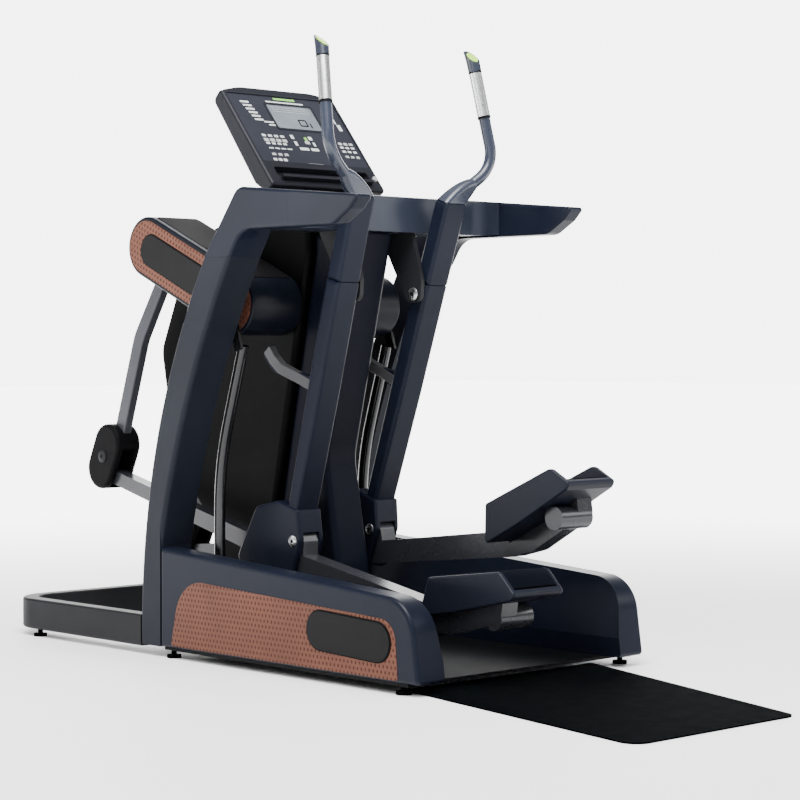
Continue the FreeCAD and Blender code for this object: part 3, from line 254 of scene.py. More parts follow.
def blend_colours(tree, amount, first, second):
    """Mix of two colours by a socket; each colour is a socket or three numbers."""
    made = tree.nodes.new("ShaderNodeMix")
    made.data_type = "RGBA"
    slots = [s for s in made.inputs if s.type == "RGBA"]
    for slot, value in zip(slots, (first, second)):
        if isinstance(value, tuple):
            slot.default_value = value + (1.0,)
        else:
            tree.links.new(value, slot)
    tree.links.new(amount, made.inputs[0])
    return [s for s in made.outputs if s.type == "RGBA"][0]


def shade(colour, factor):
    """The colour made darker or lighter by a factor."""
    return tuple(min(1.0, c * factor) for c in tuple(colour)[:3])


def bump(tree, shader, heights, strength, distance):
    """Raises the surface by a value, over a distance in metres."""
    made = node(tree, "ShaderNodeBump", Strength=strength, Distance=distance)
    tree.links.new(heights, made.inputs["Height"])
    tree.links.new(made.outputs["Normal"], shader.inputs["Normal"])


def cover_finish(name, colour, rough, grain, depth, metal, gloss):
    """Satin moulded or painted cover: soft cloudy tone, fine grain, faint dust."""
    material, tree, shader = new_material(name)
    place = object_place(tree)
    cloud = spread(tree, noise(tree, place, 3.2, 4.0), 0.0, 1.0)
    tone = blend_colours(tree, cloud, shade(colour, 0.88), shade(colour, 1.12))
    dust = spread(tree, noise(tree, place, 19.0, 5.0, 0.6), 0.0, 0.006)
    tone = blend_colours(tree, dust, tone, (0.10, 0.105, 0.115))
    tree.links.new(tone, shader.inputs["Base Color"])
    smear = spread(tree, noise(tree, place, 7.0, 3.0), rough - 0.015, rough + 0.025)
    tree.links.new(smear, shader.inputs["Roughness"])
    bump(tree, shader, noise(tree, place, grain, 2.0), depth, 0.0003)
    shader.inputs["Metallic"].default_value = metal
    shader.inputs["Specular IOR Level"].default_value = gloss
    shader.inputs["IOR"].default_value = 1.5
    return material


def perforated_finish(name, colour, pattern, tilt):
    """Copper-brown sheet with staggered dark slots, rows turned by tilt about X."""
    material, tree, shader = new_material(name)
    place = object_place(tree)
    turn = tree.nodes.new("ShaderNodeMapping")
    turn.inputs["Rotation"].default_value = (-tilt, 0, 0)
    tree.links.new(place, turn.inputs["Vector"])
    split = tree.nodes.new("ShaderNodeSeparateXYZ")
    tree.links.new(turn.outputs["Vector"], split.inputs["Vector"])
    row = calc(tree, "DIVIDE", split.outputs["Z"], pattern.pitch)
    column = calc(tree, "DIVIDE", split.outputs["Y"], pattern.pitch)
    odd = calc(tree, "MODULO", calc(tree, "ADD", calc(tree, "FLOOR", row), 1000.0), 2.0)
    column = calc(tree, "ADD", column, calc(tree, "MULTIPLY", odd, 0.5))
    across, up = [
        calc(tree, "POWER", calc(tree, "ABSOLUTE", calc(
            tree, "DIVIDE", calc(tree, "SUBTRACT", calc(
                tree, "FRACT", calc(tree, "ADD", count, 1000.0)), 0.5), half)), 3.0)
        for count, half in ((column, pattern.slot_wide), (row, pattern.slot_high))]
    reach = calc(tree, "ADD", across, up)
    solid = node(tree, "ShaderNodeMapRange", From_Min=0.55, From_Max=1.25, To_Min=0.0,
                 To_Max=1.0)
    solid.interpolation_type = "SMOOTHSTEP"
    tree.links.new(reach, solid.inputs["Value"])
    solid = solid.outputs["Result"]
    cloud = spread(tree, noise(tree, place, 4.0, 5.0), 0.0, 1.0)
    sheet = blend_colours(tree, cloud, shade(colour, 0.82), shade(colour, 1.12))
    brushed = spread(tree, noise(tree, place, 160.0, 5.0), 0.0, 0.16)
    sheet = blend_colours(tree, brushed, sheet, shade(colour, 0.55))
    tone = blend_colours(tree, solid, (0.055, 0.018, 0.012), sheet)
    tree.links.new(tone, shader.inputs["Base Color"])
    metal = calc(tree, "MULTIPLY", solid, 0.35)
    tree.links.new(metal, shader.inputs["Metallic"])
    gloss = calc(tree, "SUBTRACT", 0.88, calc(tree, "MULTIPLY", solid, 0.42))
    tree.links.new(gloss, shader.inputs["Roughness"])
    bump(tree, shader, solid, 0.9, 0.0018)
    shader.inputs["Specular IOR Level"].default_value = 0.25
    return material


def rubber_finish(name, colour, grain, depth):
    """Dull rubber with a pebbled surface."""
    material, tree, shader = new_material(name)
    place = object_place(tree)
    cells = node(tree, "ShaderNodeTexVoronoi", Scale=grain)
    tree.links.new(place, cells.inputs["Vector"])
    cloud = spread(tree, noise(tree, place, 7.0, 6.0), 0.0, 1.0)
    tone = blend_colours(tree, cloud, shade(colour, 0.92), shade(colour, 1.10))
    tree.links.new(tone, shader.inputs["Base Color"])
    smear = spread(tree, noise(tree, place, 18.0, 4.0), 0.84, 0.92)
    tree.links.new(smear, shader.inputs["Roughness"])
    bump(tree, shader, cells.outputs["Distance"], depth, 0.0006)
    shader.inputs["Specular IOR Level"].default_value = 0.04
    shader.inputs["IOR"].default_value = 1.15
    return material


def brushed_finish(name, colour, rough, stretch):
    """Metal brushed along one direction."""
    material, tree, shader = new_material(name)
    place = object_place(tree)
    squeeze = tree.nodes.new("ShaderNodeMapping")
    squeeze.inputs["Scale"].default_value = stretch
    tree.links.new(place, squeeze.inputs["Vector"])
    lines = noise(tree, squeeze.outputs["Vector"], 240.0, 4.0)
    tone = blend_colours(tree, spread(tree, lines, 0.0, 1.0), shade(colour, 0.78),
                         shade(colour, 1.1))
    tree.links.new(tone, shader.inputs["Base Color"])
    tree.links.new(spread(tree, lines, rough - 0.07, rough + 0.1), shader.inputs["Roughness"])
    bump(tree, shader, lines, 0.14, 0.0002)
    shader.inputs["Metallic"].default_value = 1.0
    return material


def display_finish(name, colour):
    """Grey liquid-crystal display behind clear plastic, with faint cell rows."""
    material, tree, shader = new_material(name)
    place = object_place(tree)
    cloud = spread(tree, noise(tree, place, 9.0, 3.0), 0.0, 1.0)
    tone = blend_colours(tree, cloud, shade(colour, 0.85), shade(colour, 1.15))
    cells = node(tree, "ShaderNodeTexVoronoi", Scale=700.0)
    tree.links.new(place, cells.inputs["Vector"])
    fine = node(tree, "ShaderNodeMapRange", From_Min=0.0, From_Max=0.6, To_Min=0.0,
                To_Max=0.12)
    tree.links.new(cells.outputs["Distance"], fine.inputs["Value"])
    tone = blend_colours(tree, fine.outputs["Result"], tone, shade(colour, 0.4))
    tree.links.new(tone, shader.inputs["Base Color"])
    tree.links.new(spread(tree, noise(tree, place, 40.0), 0.16, 0.26),
                   shader.inputs["Roughness"])
    shader.inputs["Coat Weight"].default_value = 0.6
    shader.inputs["Coat Roughness"].default_value = 0.06
    return material


def floor_finish(name, tone, glow):
    """Pale floor that lifts evenly into the white of the backdrop far away."""
    material, tree, shader = new_material(name)
    place = object_place(tree)
    reach = tree.nodes.new("ShaderNodeVectorMath")
    reach.operation = "LENGTH"
    tree.links.new(place, reach.inputs[0])
    sweep = node(tree, "ShaderNodeMapRange", From_Min=1.4, From_Max=7.0, To_Min=0.0,
                 To_Max=glow)
    sweep.interpolation_type = "SMOOTHSTEP"
    tree.links.new(reach.outputs["Value"], sweep.inputs["Value"])
    shader.inputs["Emission Color"].default_value = (1.0, 1.0, 1.0, 1.0)
    tree.links.new(sweep.outputs["Result"], shader.inputs["Emission Strength"])
    cloud = spread(tree, noise(tree, place, 0.8, 3.0), 0.0, 1.0)
    colour = blend_colours(tree, cloud, (tone * 0.99,) * 3, (tone, tone, tone))
    tree.links.new(colour, shader.inputs["Base Color"])
    tree.links.new(spread(tree, noise(tree, place, 5.0), 0.55, 0.62),
                   shader.inputs["Roughness"])
    shader.inputs["Specular IOR Level"].default_value = 0.25
    return material


# --------------------------------------------------------------------- geometry

def add_mesh(name, mesh_builder, material, body, bevel=0.0, smooth=True):
    """New piece from a bmesh, given its finish, its rounding and its CAD body."""
    work = bmesh.new()
    mesh_builder(work)
    bmesh.ops.recalc_face_normals(work, faces=work.faces)
    mesh = bpy.data.meshes.new(name)
    work.to_mesh(mesh)
    work.free()
    piece = bpy.data.objects.new(name, mesh)
    bpy.context.scene.collection.objects.link(piece)
    mesh.materials.append(material)
    if smooth:
        for face in mesh.polygons:
            face.use_smooth = True
    if bevel:
        rounding = piece.modifiers.new("edge rounding", "BEVEL")
        rounding.width = bevel
        rounding.segments = 3
        rounding.limit_method = "ANGLE"
        rounding.angle_limit = math.radians(35)
        rounding.harden_normals = True
    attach(piece, body)
    return piece


def slab(work, outline, low, high, place):
    """Closed plate: a flat outline between two heights, set in place by a matrix."""
    bottom = [work.verts.new(place @ Vector((u, v, low))) for u, v in outline]
    top = [work.verts.new(place @ Vector((u, v, high))) for u, v in outline]
    work.faces.new(bottom[::-1])
    work.faces.new(top)
    count = len(outline)
    for i in range(count):
        follow = (i + 1) % count
        work.faces.new((bottom[i], bottom[follow], top[follow], top[i]))


def rounded_box(long, high, radius, steps=10):
    """Outline of a rectangle with rounded corners, about its middle."""
    points = []
    radius = min(radius, long / 2 - 1e-5, high / 2 - 1e-5)
    for corner, (sx, sy) in enumerate(((1, 1), (-1, 1), (-1, -1), (1, -1))):
        for k in range(steps + 1):
            angle = math.radians(90 * corner + 90 * k / steps)
            points.append((sx * (long / 2 - radius) + radius * math.cos(angle),
                           sy * (high / 2 - radius) + radius * math.sin(angle)))
    return points


def join_loops(work, loops):
    """Faces between neighbouring loops, with the last loop joined to the first."""
    for first, second in zip(loops, loops[1:] + loops[:1]):
        for k in range(len(first)):
            follow = (k + 1) % len(first)
            work.faces.new((first[k], first[follow], second[follow], second[k]))


def bezel(work, outer, inner, heights, place):
    """Raised rim between two outlines, with its heights from outside to inside."""
    pairs = zip((outer, outer, inner, inner), heights)
    join_loops(work, [[work.verts.new(place @ Vector((u, v, height))) for u, v in line]
                      for line, height in pairs])


def shifted(outline, across, up):
    """The outline moved sideways and upwards."""
    return [(u + across, v + up) for u, v in outline]


def mark_rows(rows, across, up):
    """Middle, length and height of each mark in the rows, moved to the given place."""
    return [(across + u + step_across * k, v + step_up * k + up, long, high)
            for u, v, long, high, count, step_across, step_up in rows
            for k in range(count)]


def face_frame(origin, up_face, out):
    """Matrix whose X runs across the machine, with the given Y and Z directions."""
    made = Matrix((ACROSS, up_face, out)).transposed().to_4x4()
    made.translation = origin
    return made


def upward(direction):
    """The direction or its opposite, whichever points up."""
    return -direction if direction.z < 0 else direction


def frame_matrix(origin, along, up):
    """Matrix whose X runs along, whose Y runs up and whose Z stands off the plate."""
    along = along.normalized()
    out = along.cross(up).normalized()
    up = out.cross(along)
    made = Matrix((along, up, out)).transposed().to_4x4()
    made.translation = origin
    return made


def ring(work, centre, axis, inner, outer, length, segments=48):
    """Plain collar about an axis."""
    side = axis.orthogonal().normalized()
    other = axis.cross(side).normalized()
    loops = []
    for radius, shift in ((inner, 0), (outer, 0), (outer, length), (inner, length)):
        loops.append([work.verts.new(centre + axis * shift + (
            side * math.cos(2 * math.pi * k / segments)
            + other * math.sin(2 * math.pi * k / segments)) * radius)
            for k in range(segments)])
    join_loops(work, loops)


def disc(work, centre, axis, radius, length, dome=0.0, segments=32):
    """Short round head, with a slight dome."""
    side = axis.orthogonal().normalized()
    other = axis.cross(side).normalized()
    rows = ((radius, 0.0), (radius, length * 0.6), (radius * 0.86, length),
            (radius * 0.4, length + dome))
    loops = []
    for reach, lift in rows:
        loops.append([work.verts.new(centre + axis * lift + (
            side * math.cos(2 * math.pi * k / segments)
            + other * math.sin(2 * math.pi * k / segments)) * reach)
            for k in range(segments)])
    for a in range(len(loops) - 1):
        for k in range(segments):
            follow = (k + 1) % segments
            work.faces.new((loops[a][k], loops[a][follow], loops[a + 1][follow],
                            loops[a + 1][k]))
    work.faces.new(loops[0][::-1])
    work.faces.new(loops[-1])


def socket_shade_plate(work, centre, axis, radius, depth):
    """Painted shade of the six-sided recess in a screw head, drawn as a thin sunk plate."""
    side = axis.orthogonal().normalized()
    place = frame_matrix(centre, side, axis.cross(side))
    outline = [(radius * math.cos(math.radians(60 * k)), radius * math.sin(
        math.radians(60 * k))) for k in range(6)]
    slab(work, outline, 0.0, depth, place)


def corners(name):
    """Corners of a CAD piece as vectors."""
    low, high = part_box(name)
    return Vector(low), Vector(high)


def middle(name):
    """Middle of a CAD piece's box."""
    low, high = corners(name)
    return (low + high) / 2


def joint(name):
    """The joint's entry in the frame."""
    return [j for j in frame["joints"] if j["name"] == name][0]


def pivot(name):
    """Place of the joint's axis."""
    return Vector(joint(name)["pos_m"])


def vertices(name):
    """Places of all the vertices of a CAD piece."""
    return [v.co.copy() for v in frame["nodes"][name].data.vertices]


def dress(name, material):
    """Gives a CAD piece its finish."""
    target = frame["nodes"][name]
    target.data.materials.clear()
    target.data.materials.append(material)


FINISH = {}


# -------------------------------------------------------------------- operators

class CLIMBER_OT_finishes(bpy.types.Operator):
    """Makes every finish and gives each CAD piece its own"""

    bl_idname = "climber.finishes"
    bl_label = "Finishes"

    def execute(self, context):
        colours = context.scene.climber_colours
        pattern = context.scene.climber_pattern
        covers = {
            # name, colour, roughness, grain per metre, grain depth, metal, gloss
            "navy": ("navy satin cover", colours.navy, 0.36, 1500.0, 0.10, 0.0, 0.12),
            "slate": ("slate satin cover", colours.slate, 0.38, 1500.0, 0.10, 0.0, 0.10),
            "arm": ("arm satin cover", colours.navy, 0.38, 1500.0, 0.10, 0.0, 0.09),
            # Crossbar: the slate made twice as light, painted light for its brightly lit face.
            "deck": ("crossbar slate with painted light", shade(colours.slate, 2.0), 0.34, 1500.0, 0.10,
                     0.0, 0.2),
            # Mast cover: the navy darkened to 0.6, painted shade on the column set back between
            # the arms.
            "mast": ("mast navy with painted shade", shade(colours.navy, 0.6), 0.42, 1500.0, 0.10, 0.0,
                     0.05),
            "tube": ("handle satin paint", shade(colours.slate, 2.5), 0.26, 1500.0, 0.06,
                     0.0, 0.4),
            "block": ("pivot block moulding", (0.0026, 0.0026, 0.0031), 0.5, 900.0, 0.22,
                      0.0, 0.04),
            "shroud": ("near-black moulded cover", colours.shroud, 0.5, 900.0, 0.22, 0.0,
                       0.04),
            "frame": ("frame powder coat", shade(colours.link, 0.28), 0.5, 1100.0, 0.3, 0.0,
                      0.15),
            "stay": ("stay gloss black", shade(colours.link, 0.2), 0.2, 1100.0, 0.1, 0.3,
                     0.6),
            "pan": ("floor pan black", (0.0018, 0.0021, 0.0027), 0.5, 1000.0, 0.3, 0.0,
                    0.08),
            "link": ("link satin paint", shade(colours.link, 1.45), 0.34, 1300.0, 0.12,
                     0.15, 0.22),
            "lever": ("lever satin paint", shade(colours.link, 0.75), 0.26, 1300.0, 0.12,
                      0.15, 0.4),
            "pod": ("pod dark moulding", (0.0032, 0.0042, 0.0076), 0.34, 1300.0, 0.12, 0.0,
                    0.10),
            "pod_top": ("pod lid grey", (0.0045, 0.0040, 0.0046), 0.55, 1300.0, 0.12, 0.0,
                        0.04),
            "console": ("console moulding", (0.0085, 0.0092, 0.0125), 0.42, 1200.0, 0.18,
                        0.0, 0.12),
            "face": ("console overlay", (0.0150, 0.0162, 0.0225), 0.40, 1800.0, 0.06, 0.0,
                     0.14),
            "green": ("thumb button green", colours.accent, 0.28, 1500.0, 0.05, 0.0, 0.4),
            "pedal": ("pedal moulding", (0.0062, 0.0078, 0.0140), 0.38, 900.0, 0.2, 0.0,
                      0.12),
            "key": ("key cap grey", (0.30, 0.31, 0.31), 0.42, 1500.0, 0.08, 0.0, 0.22),
            "badge": ("badge satin black", (0.0030, 0.0030, 0.0035), 0.38, 1600.0, 0.06,
                      0.0, 0.10),
            # Near-black used both for painted shadow (badge rims, screw recesses) and for the
            # real black of grip collars and display digits.
            "seam": ("seam shadow", (0.0010, 0.0012, 0.0014), 0.7, 900.0, 0.05, 0.0, 0.1),
            "strap": ("strap satin grey", (0.060, 0.060, 0.064), 0.4, 1300.0, 0.1, 0.0,
                      0.3),
            "print": ("overlay pale print", (0.42, 0.45, 0.44), 0.5, 1500.0, 0.05, 0.0,
                      0.2),
            "print_green": ("overlay green print", (0.16, 0.38, 0.07), 0.4, 1500.0, 0.05,
                            0.0, 0.2),
        }
        for key, values in covers.items():
            FINISH[key] = cover_finish(*values)
        metals = {
            # name, colour, roughness, stretch of the brushing along X, Y and Z
            "steel": ("turned steel", (0.55, 0.56, 0.57), 0.28, (6.0, 1.0, 1.0)),
            "grip": ("grip steel", (0.66, 0.67, 0.67), 0.30, (1.0, 1.0, 5.0)),
            "cast": ("cast flywheel", (0.10, 0.10, 0.11), 0.5, (1.0, 1.0, 1.0)),
        }
        for key, values in metals.items():
            FINISH[key] = brushed_finish(*values)
        rubbers = {
            # name, colour, pebbles per metre, depth of the pebbles
            "mat": ("mat rubber", (0.0007, 0.0011, 0.0014), 260.0, 0.55),
            "tread": ("tread rubber", (0.0022, 0.0022, 0.0026), 420.0, 0.5),
            "foot": ("foot rubber", (0.0018, 0.0018, 0.002), 500.0, 0.3),
        }
        for key, values in rubbers.items():
            FINISH[key] = rubber_finish(*values)
        FINISH["screen"] = display_finish("display glass", (0.115, 0.132, 0.150))
        single = {
            "front_frame": "frame", "base_crossmember": "pan", "frame_stays": "stay",
            "mast_post": "frame", "arm_lugs": "frame", "generator": "frame",
            "levelling_feet": "foot", "drive_belt": "foot", "console_deck": "deck",
            "mast_cover": "mast", "arm_pins": "steel", "hub_shaft": "steel",
            "flywheel": "cast", "console_housing": "console", "console_face": "face",
            "display_screen": "screen", "reading_ledge": "console", "console_keys": "key",
            "console_neck": "console", "start_button": "key", "step_mat": "mat",
        }
        for name, key in single.items():
            dress(name, FINISH[key])
        paired = {
            "side_housing": "navy", "upright": "slate", "shoulder": "navy",
            "rail_end": "navy", "shroud": "shroud", "arm": "arm", "arm_cover": "arm",
            "arm_foot": "navy", "handle": "tube", "grip": "grip", "thumb_button": "green",
            "lever": "lever", "pedal": "pedal", "pedal_pad": "tread", "pod": "pod",
            "hanger": "link", "pivot_block": "block",
        }
        side_sheet = perforated_finish("side perforated copper", colours.copper, pattern, 0.0)
        for side, sign in SIDES:
            for name, key in paired.items():
                dress(side + "_" + name, FINISH[key])
            hub = pivot(side + "_rocker_swing")
            pin = pivot(side + "_hanger_swing")
            tilt = math.atan2(pin.z - hub.z, pin.y - hub.y)
            dress(side + "_pod_panel", perforated_finish(
                side + " pod perforated copper", colours.copper, pattern, tilt))
            dress(side + "_side_panel", side_sheet)
        return {"FINISHED"}


class CLIMBER_OT_badges(bpy.types.Operator):
    """Adds the bare round-ended plates to the side panels and the pods"""

    bl_idname = "climber.badges"
    bl_label = "Badge plates"

    def execute(self, context):
        sizes = context.scene.climber_badges
        for side, sign in SIDES:
            low, high = corners(side + "_side_panel")
            x = low.x if sign < 0 else high.x
            centre = Vector((x, low.y + 0.193, low.z + 0.101))
            along = Vector((0, sign * 1.0, sign * 0.05))
            self.plate(side + "_side_badge", centre, along, sizes.side_long, sizes.side_high,
                       sizes.thick, "base")
            hub = pivot(side + "_rocker_swing")
            pin = pivot(side + "_hanger_swing")
            low, high = corners(side + "_pod_panel")
            x = low.x if sign < 0 else high.x
            line = pin - hub
            centre = hub + line * 0.60
            centre.x = x
            line.x = 0
            self.plate(side + "_pod_badge", centre, line * sign, sizes.pod_long,
                       sizes.pod_high, sizes.thick, side + "_rocker_body")
        return {"FINISHED"}

    def plate(self, name, centre, along, long, high, thick, body):
        """Bare flat plate with a raised rim of painted seam shadow."""
        place = frame_matrix(centre, along, Vector((0, 0, 1)))

        def build(work):
            slab(work, rounded_box(long, high, high / 2, 14), -0.0005, thick, place)

        add_mesh(name, build, FINISH["badge"], body, 0.0014)

        # The rim: a dark raised ring of painted shadow where the plate meets its panel.
        def rim(work):
            outer = rounded_box(long + 0.008, high + 0.008, high / 2 + 0.004, 14)
            inner = rounded_box(long, high, high / 2, 14)
            bezel(work, outer, inner, (-0.0005, 0.0022, 0.0022, -0.0005), place)

        add_mesh(name + "_seam_shadow_ring", rim, FINISH["seam"], body, 0.0006)


class CLIMBER_OT_pod_lids(bpy.types.Operator):
    """Lays the flat grey lid on top of each pod"""

    bl_idname = "climber.pod_lids"
    bl_label = "Pod lids"

    def execute(self, context):
        for side, sign in SIDES:
            hub = pivot(side + "_rocker_swing")
            pin = pivot(side + "_hanger_swing")
            line = Vector((0, pin.y - hub.y, pin.z - hub.z))
            low, high = corners(side + "_pod")
            radius = (high.z - low.z - abs(line.z)) / 2
            along = line.normalized()
            up = upward(ACROSS.cross(along))
            wide = high.x - low.x - 0.034
            centre = Vector(((low.x + high.x) / 2 - sign * 0.006, hub.y, hub.z)) + line / 2
            place = face_frame(centre + up * radius, along, up)

            def build(work):
                slab(work, rounded_box(wide, line.length + 0.03, 0.008, 5), -0.0008, 0.0012,
                     place)

            add_mesh(side + "_pod_lid", build, FINISH["pod_top"], side + "_rocker_body",
                     0.0005)
        return {"FINISHED"}


class CLIMBER_OT_straps(bpy.types.Operator):
    """Adds the lighter curved stop strap in front of each arm"""

    bl_idname = "climber.straps"
    bl_label = "Stop straps"

    def execute(self, context):
        for side, sign in SIDES:
            top = pivot(side + "_arm_swing")
            hinge = pivot(side + "_lever_swing")
            turn = math.atan2(hinge.y - top.y, top.z - hinge.z) - math.atan2(-0.039, 0.737)
            place = Matrix.Translation(top) @ Matrix.Rotation(turn, 4, "X")

            def strap(work):
                rows = []
                for k, (y, z) in enumerate(STRAP_LINE):
                    ahead = STRAP_LINE[min(k + 1, len(STRAP_LINE) - 1)]
                    behind = STRAP_LINE[max(k - 1, 0)]
                    run = Vector((0, ahead[0] - behind[0], ahead[1] - behind[1])).normalized()
                    out = Vector((0, -run.z, run.y)) * STRAP_HALF_HIGH
                    for across, way in ((-1, -1), (1, -1), (1, 1), (-1, 1)):
                        corner = Vector((across * STRAP_HALF_WIDE, y, z)) + out * way
                        rows.append(work.verts.new(place @ corner))
                for k in range(0, len(rows) - 4, 4):
                    for i in range(4):
                        j = (i + 1) % 4
                        work.faces.new((rows[k + i], rows[k + j], rows[k + 4 + j],
                                        rows[k + 4 + i]))
                work.faces.new(rows[3::-1])
                work.faces.new(rows[-4:])

            add_mesh(side + "_stop_strap", strap, FINISH["strap"], side + "_arm_body",
                     0.002, smooth=False)
        return {"FINISHED"}


class CLIMBER_OT_treads(bpy.types.Operator):
    """Adds raised ribs to each pedal's rubber tread"""

    bl_idname = "climber.treads"
    bl_label = "Pedal treads"

    def execute(self, context):
        sizes = context.scene.climber_treads
        for side, sign in SIDES:
            points = vertices(side + "_pedal_pad")
            front = max(points, key=lambda p: p.y)
            rear = min(points, key=lambda p: p.y)
            low, high = corners(side + "_pedal_pad")
            edge = [p for p in points if abs(p.x - high.x) < 1e-4]
            front_top, rear_top = [max(p.z for p in edge if abs(p.y - end.y) < 0.004)
                                   for end in (front, rear)]
            line = Vector((0, rear.y - front.y, rear_top - front_top))
            start = Vector((middle(side + "_pedal_pad").x, front.y, front_top))
            out = upward(ACROSS.cross(line).normalized())
            place = face_frame(start, line.normalized(), out)
            wide = high.x - low.x - 0.012
            run = line.length

            def build(work):
                for k in range(sizes.ribs):
                    at = run * (k + 1.0) / (sizes.ribs + 1.0)
                    shape = shifted(rounded_box(wide, 0.0075, 0.003, 4), 0, at)
                    slab(work, shape, -0.0006, sizes.rib_high, place)

            add_mesh(side + "_tread_ribs", build, FINISH["tread"], side + "_lever_body",
                     0.0007)
        return {"FINISHED"}


class CLIMBER_OT_console(bpy.types.Operator):
    """Adds the overlay's printed marks and the display's frame and marks"""

    bl_idname = "climber.console"
    bl_label = "Console details"

    def execute(self, context):
        out = -Vector(joint("start_button_press")["axis"]).normalized()
        up = upward(ACROSS.cross(-out).normalized())
        points = vertices("console_face")
        level = max(p.dot(out) for p in points)
        bottom = min(p.dot(up) for p in points)
        place = face_frame(up * bottom + out * level, up, out)
        foot = min(p.dot(up) for p in vertices("console_housing")) - bottom
        self.bars("console_labels", place, FINISH["print"], mark_rows(PRINT_ROWS, 0, foot))
        self.bars("console_green_marks", place, FINISH["print_green"],
                  mark_rows(GREEN_ROWS, 0, foot))
        low, high = corners("display_screen")
        heights = [p.dot(up) - bottom for p in vertices("display_screen")]
        wide = high.x - low.x
        tall = max(heights) - min(heights)
        across = (low.x + high.x) / 2
        middle_height = (min(heights) + max(heights)) / 2

        def frame_ring(work):
            outer = rounded_box(wide + 0.014, tall + 0.014, 0.012)
            inner = rounded_box(wide - 0.002, tall - 0.002, 0.007)
            bezel(work, shifted(outer, across, middle_height),
                  shifted(inner, across, middle_height),
                  (-0.0004, 0.0016, 0.0016, -0.001), place)

        add_mesh("display_frame", frame_ring, FINISH["console"], "base",
                 0.0005)
        self.bars("display_digits", place, FINISH["seam"],
                  mark_rows(DIGIT_ROWS, across, min(heights)))
        self.bars("display_grid", place, FINISH["key"],
                  mark_rows(GRID_ROWS, across, min(heights)))
        return {"FINISHED"}

    def bars(self, name, place, material, marks):
        """Thin printed marks on the overlay."""
        def build(work):
            for u, v, long, high in marks:
                shape = shifted(rounded_box(long, high, 0.0012, 3), u, v)
                slab(work, shape, -0.0003, 0.0005, place)

        add_mesh(name, build, material, "base", smooth=False)


class CLIMBER_OT_fasteners(bpy.types.Operator):
    """Adds socket-headed caps to the hinges, pivot blocks, arm pivots and hub shaft"""

    bl_idname = "climber.fasteners"
    bl_label = "Fasteners"

    def execute(self, context):
        for side, sign in SIDES:
            hinge = pivot(side + "_lever_swing")
            block = middle(side + "_pivot_block")
            spots = (("hinge", "arm", side + "_arm_foot", hinge, 0.017),
                     ("block", "hanger", side + "_pivot_block", block, 0.020))
            for label, body, piece, centre, radius in spots:
                low, high = corners(piece)
                for face, x in ((-1, low.x), (1, high.x)):
                    end = "in" if face * sign < 0 else "out"
                    self.screw("%s_%s_cap_%s" % (side, label, end),
                               Vector((x - face * 0.0004, centre.y, centre.z)),
                               Vector((face, 0, 0)), radius, "%s_%s_body" % (side, body))
            top = pivot(side + "_arm_swing")
            gap = min(abs(v.x) for v in vertices("arm_pins")) - 0.0004
            self.screw(side + "_pivot_cap", Vector((sign * gap, top.y, top.z)),
                       Vector((-sign, 0, 0)), 0.019, "base")
            hub = pivot(side + "_rocker_swing")
            shaft_low, shaft_high = corners("hub_shaft")
            x = shaft_low.x if sign < 0 else shaft_high.x
            self.screw(side + "_shaft_cap", Vector((x - sign * 0.0004, hub.y, hub.z)),
                       Vector((sign, 0, 0)), 0.018, "base")
        return {"FINISHED"}

    def screw(self, name, centre, axis, radius, body, length=0.004):
        """Round cap with a six-sided recess shown as painted shade; the caps of the pivot blocks
        wear frame paint.
        """
        def head(work):
            disc(work, centre, axis, radius, length, radius * 0.06)

        finish = FINISH["frame" if "block" in name else "steel"]
        add_mesh(name, head, finish, body, 0.0004)

        # The recess: a thin dark plate of painted shade on the head.
        def recess(work):
            socket_shade_plate(work, centre + axis * (length + radius * 0.04), axis, radius * 0.36,
                       radius * 0.05)

        add_mesh(name + "_socket_shade", recess, FINISH["seam"], body, smooth=False)


class CLIMBER_OT_grips(bpy.types.Operator):
    """Adds a dark collar at each end of the grips"""

    bl_idname = "climber.grips"
    bl_label = "Grip collars"

    def execute(self, context):
        for side, sign in SIDES:
            points = vertices(side + "_grip")
            mid = middle(side + "_grip")
            axis = self.line(points, mid)
            half = max((p - mid).dot(axis) for p in points)

            def collars(work):
                for start in (half - 0.001, -half - 0.006):
                    ring(work, mid + axis * start, axis, 0.0172, 0.0196, 0.007)

            add_mesh(side + "_grip_collars", collars, FINISH["seam"], side + "_arm_body",
                     0.0008)
        return {"FINISHED"}

    def line(self, points, mid):
        """Direction in which the grip is longest, pointing up."""
        spread_out = [p - mid for p in points]
        guess = max(spread_out, key=lambda q: q.z)
        for _ in range(30):
            total = Vector()
            for offset in spread_out:
                total += offset * offset.dot(guess)
            guess = total.normalized()
        return guess if guess.z > 0 else -guess


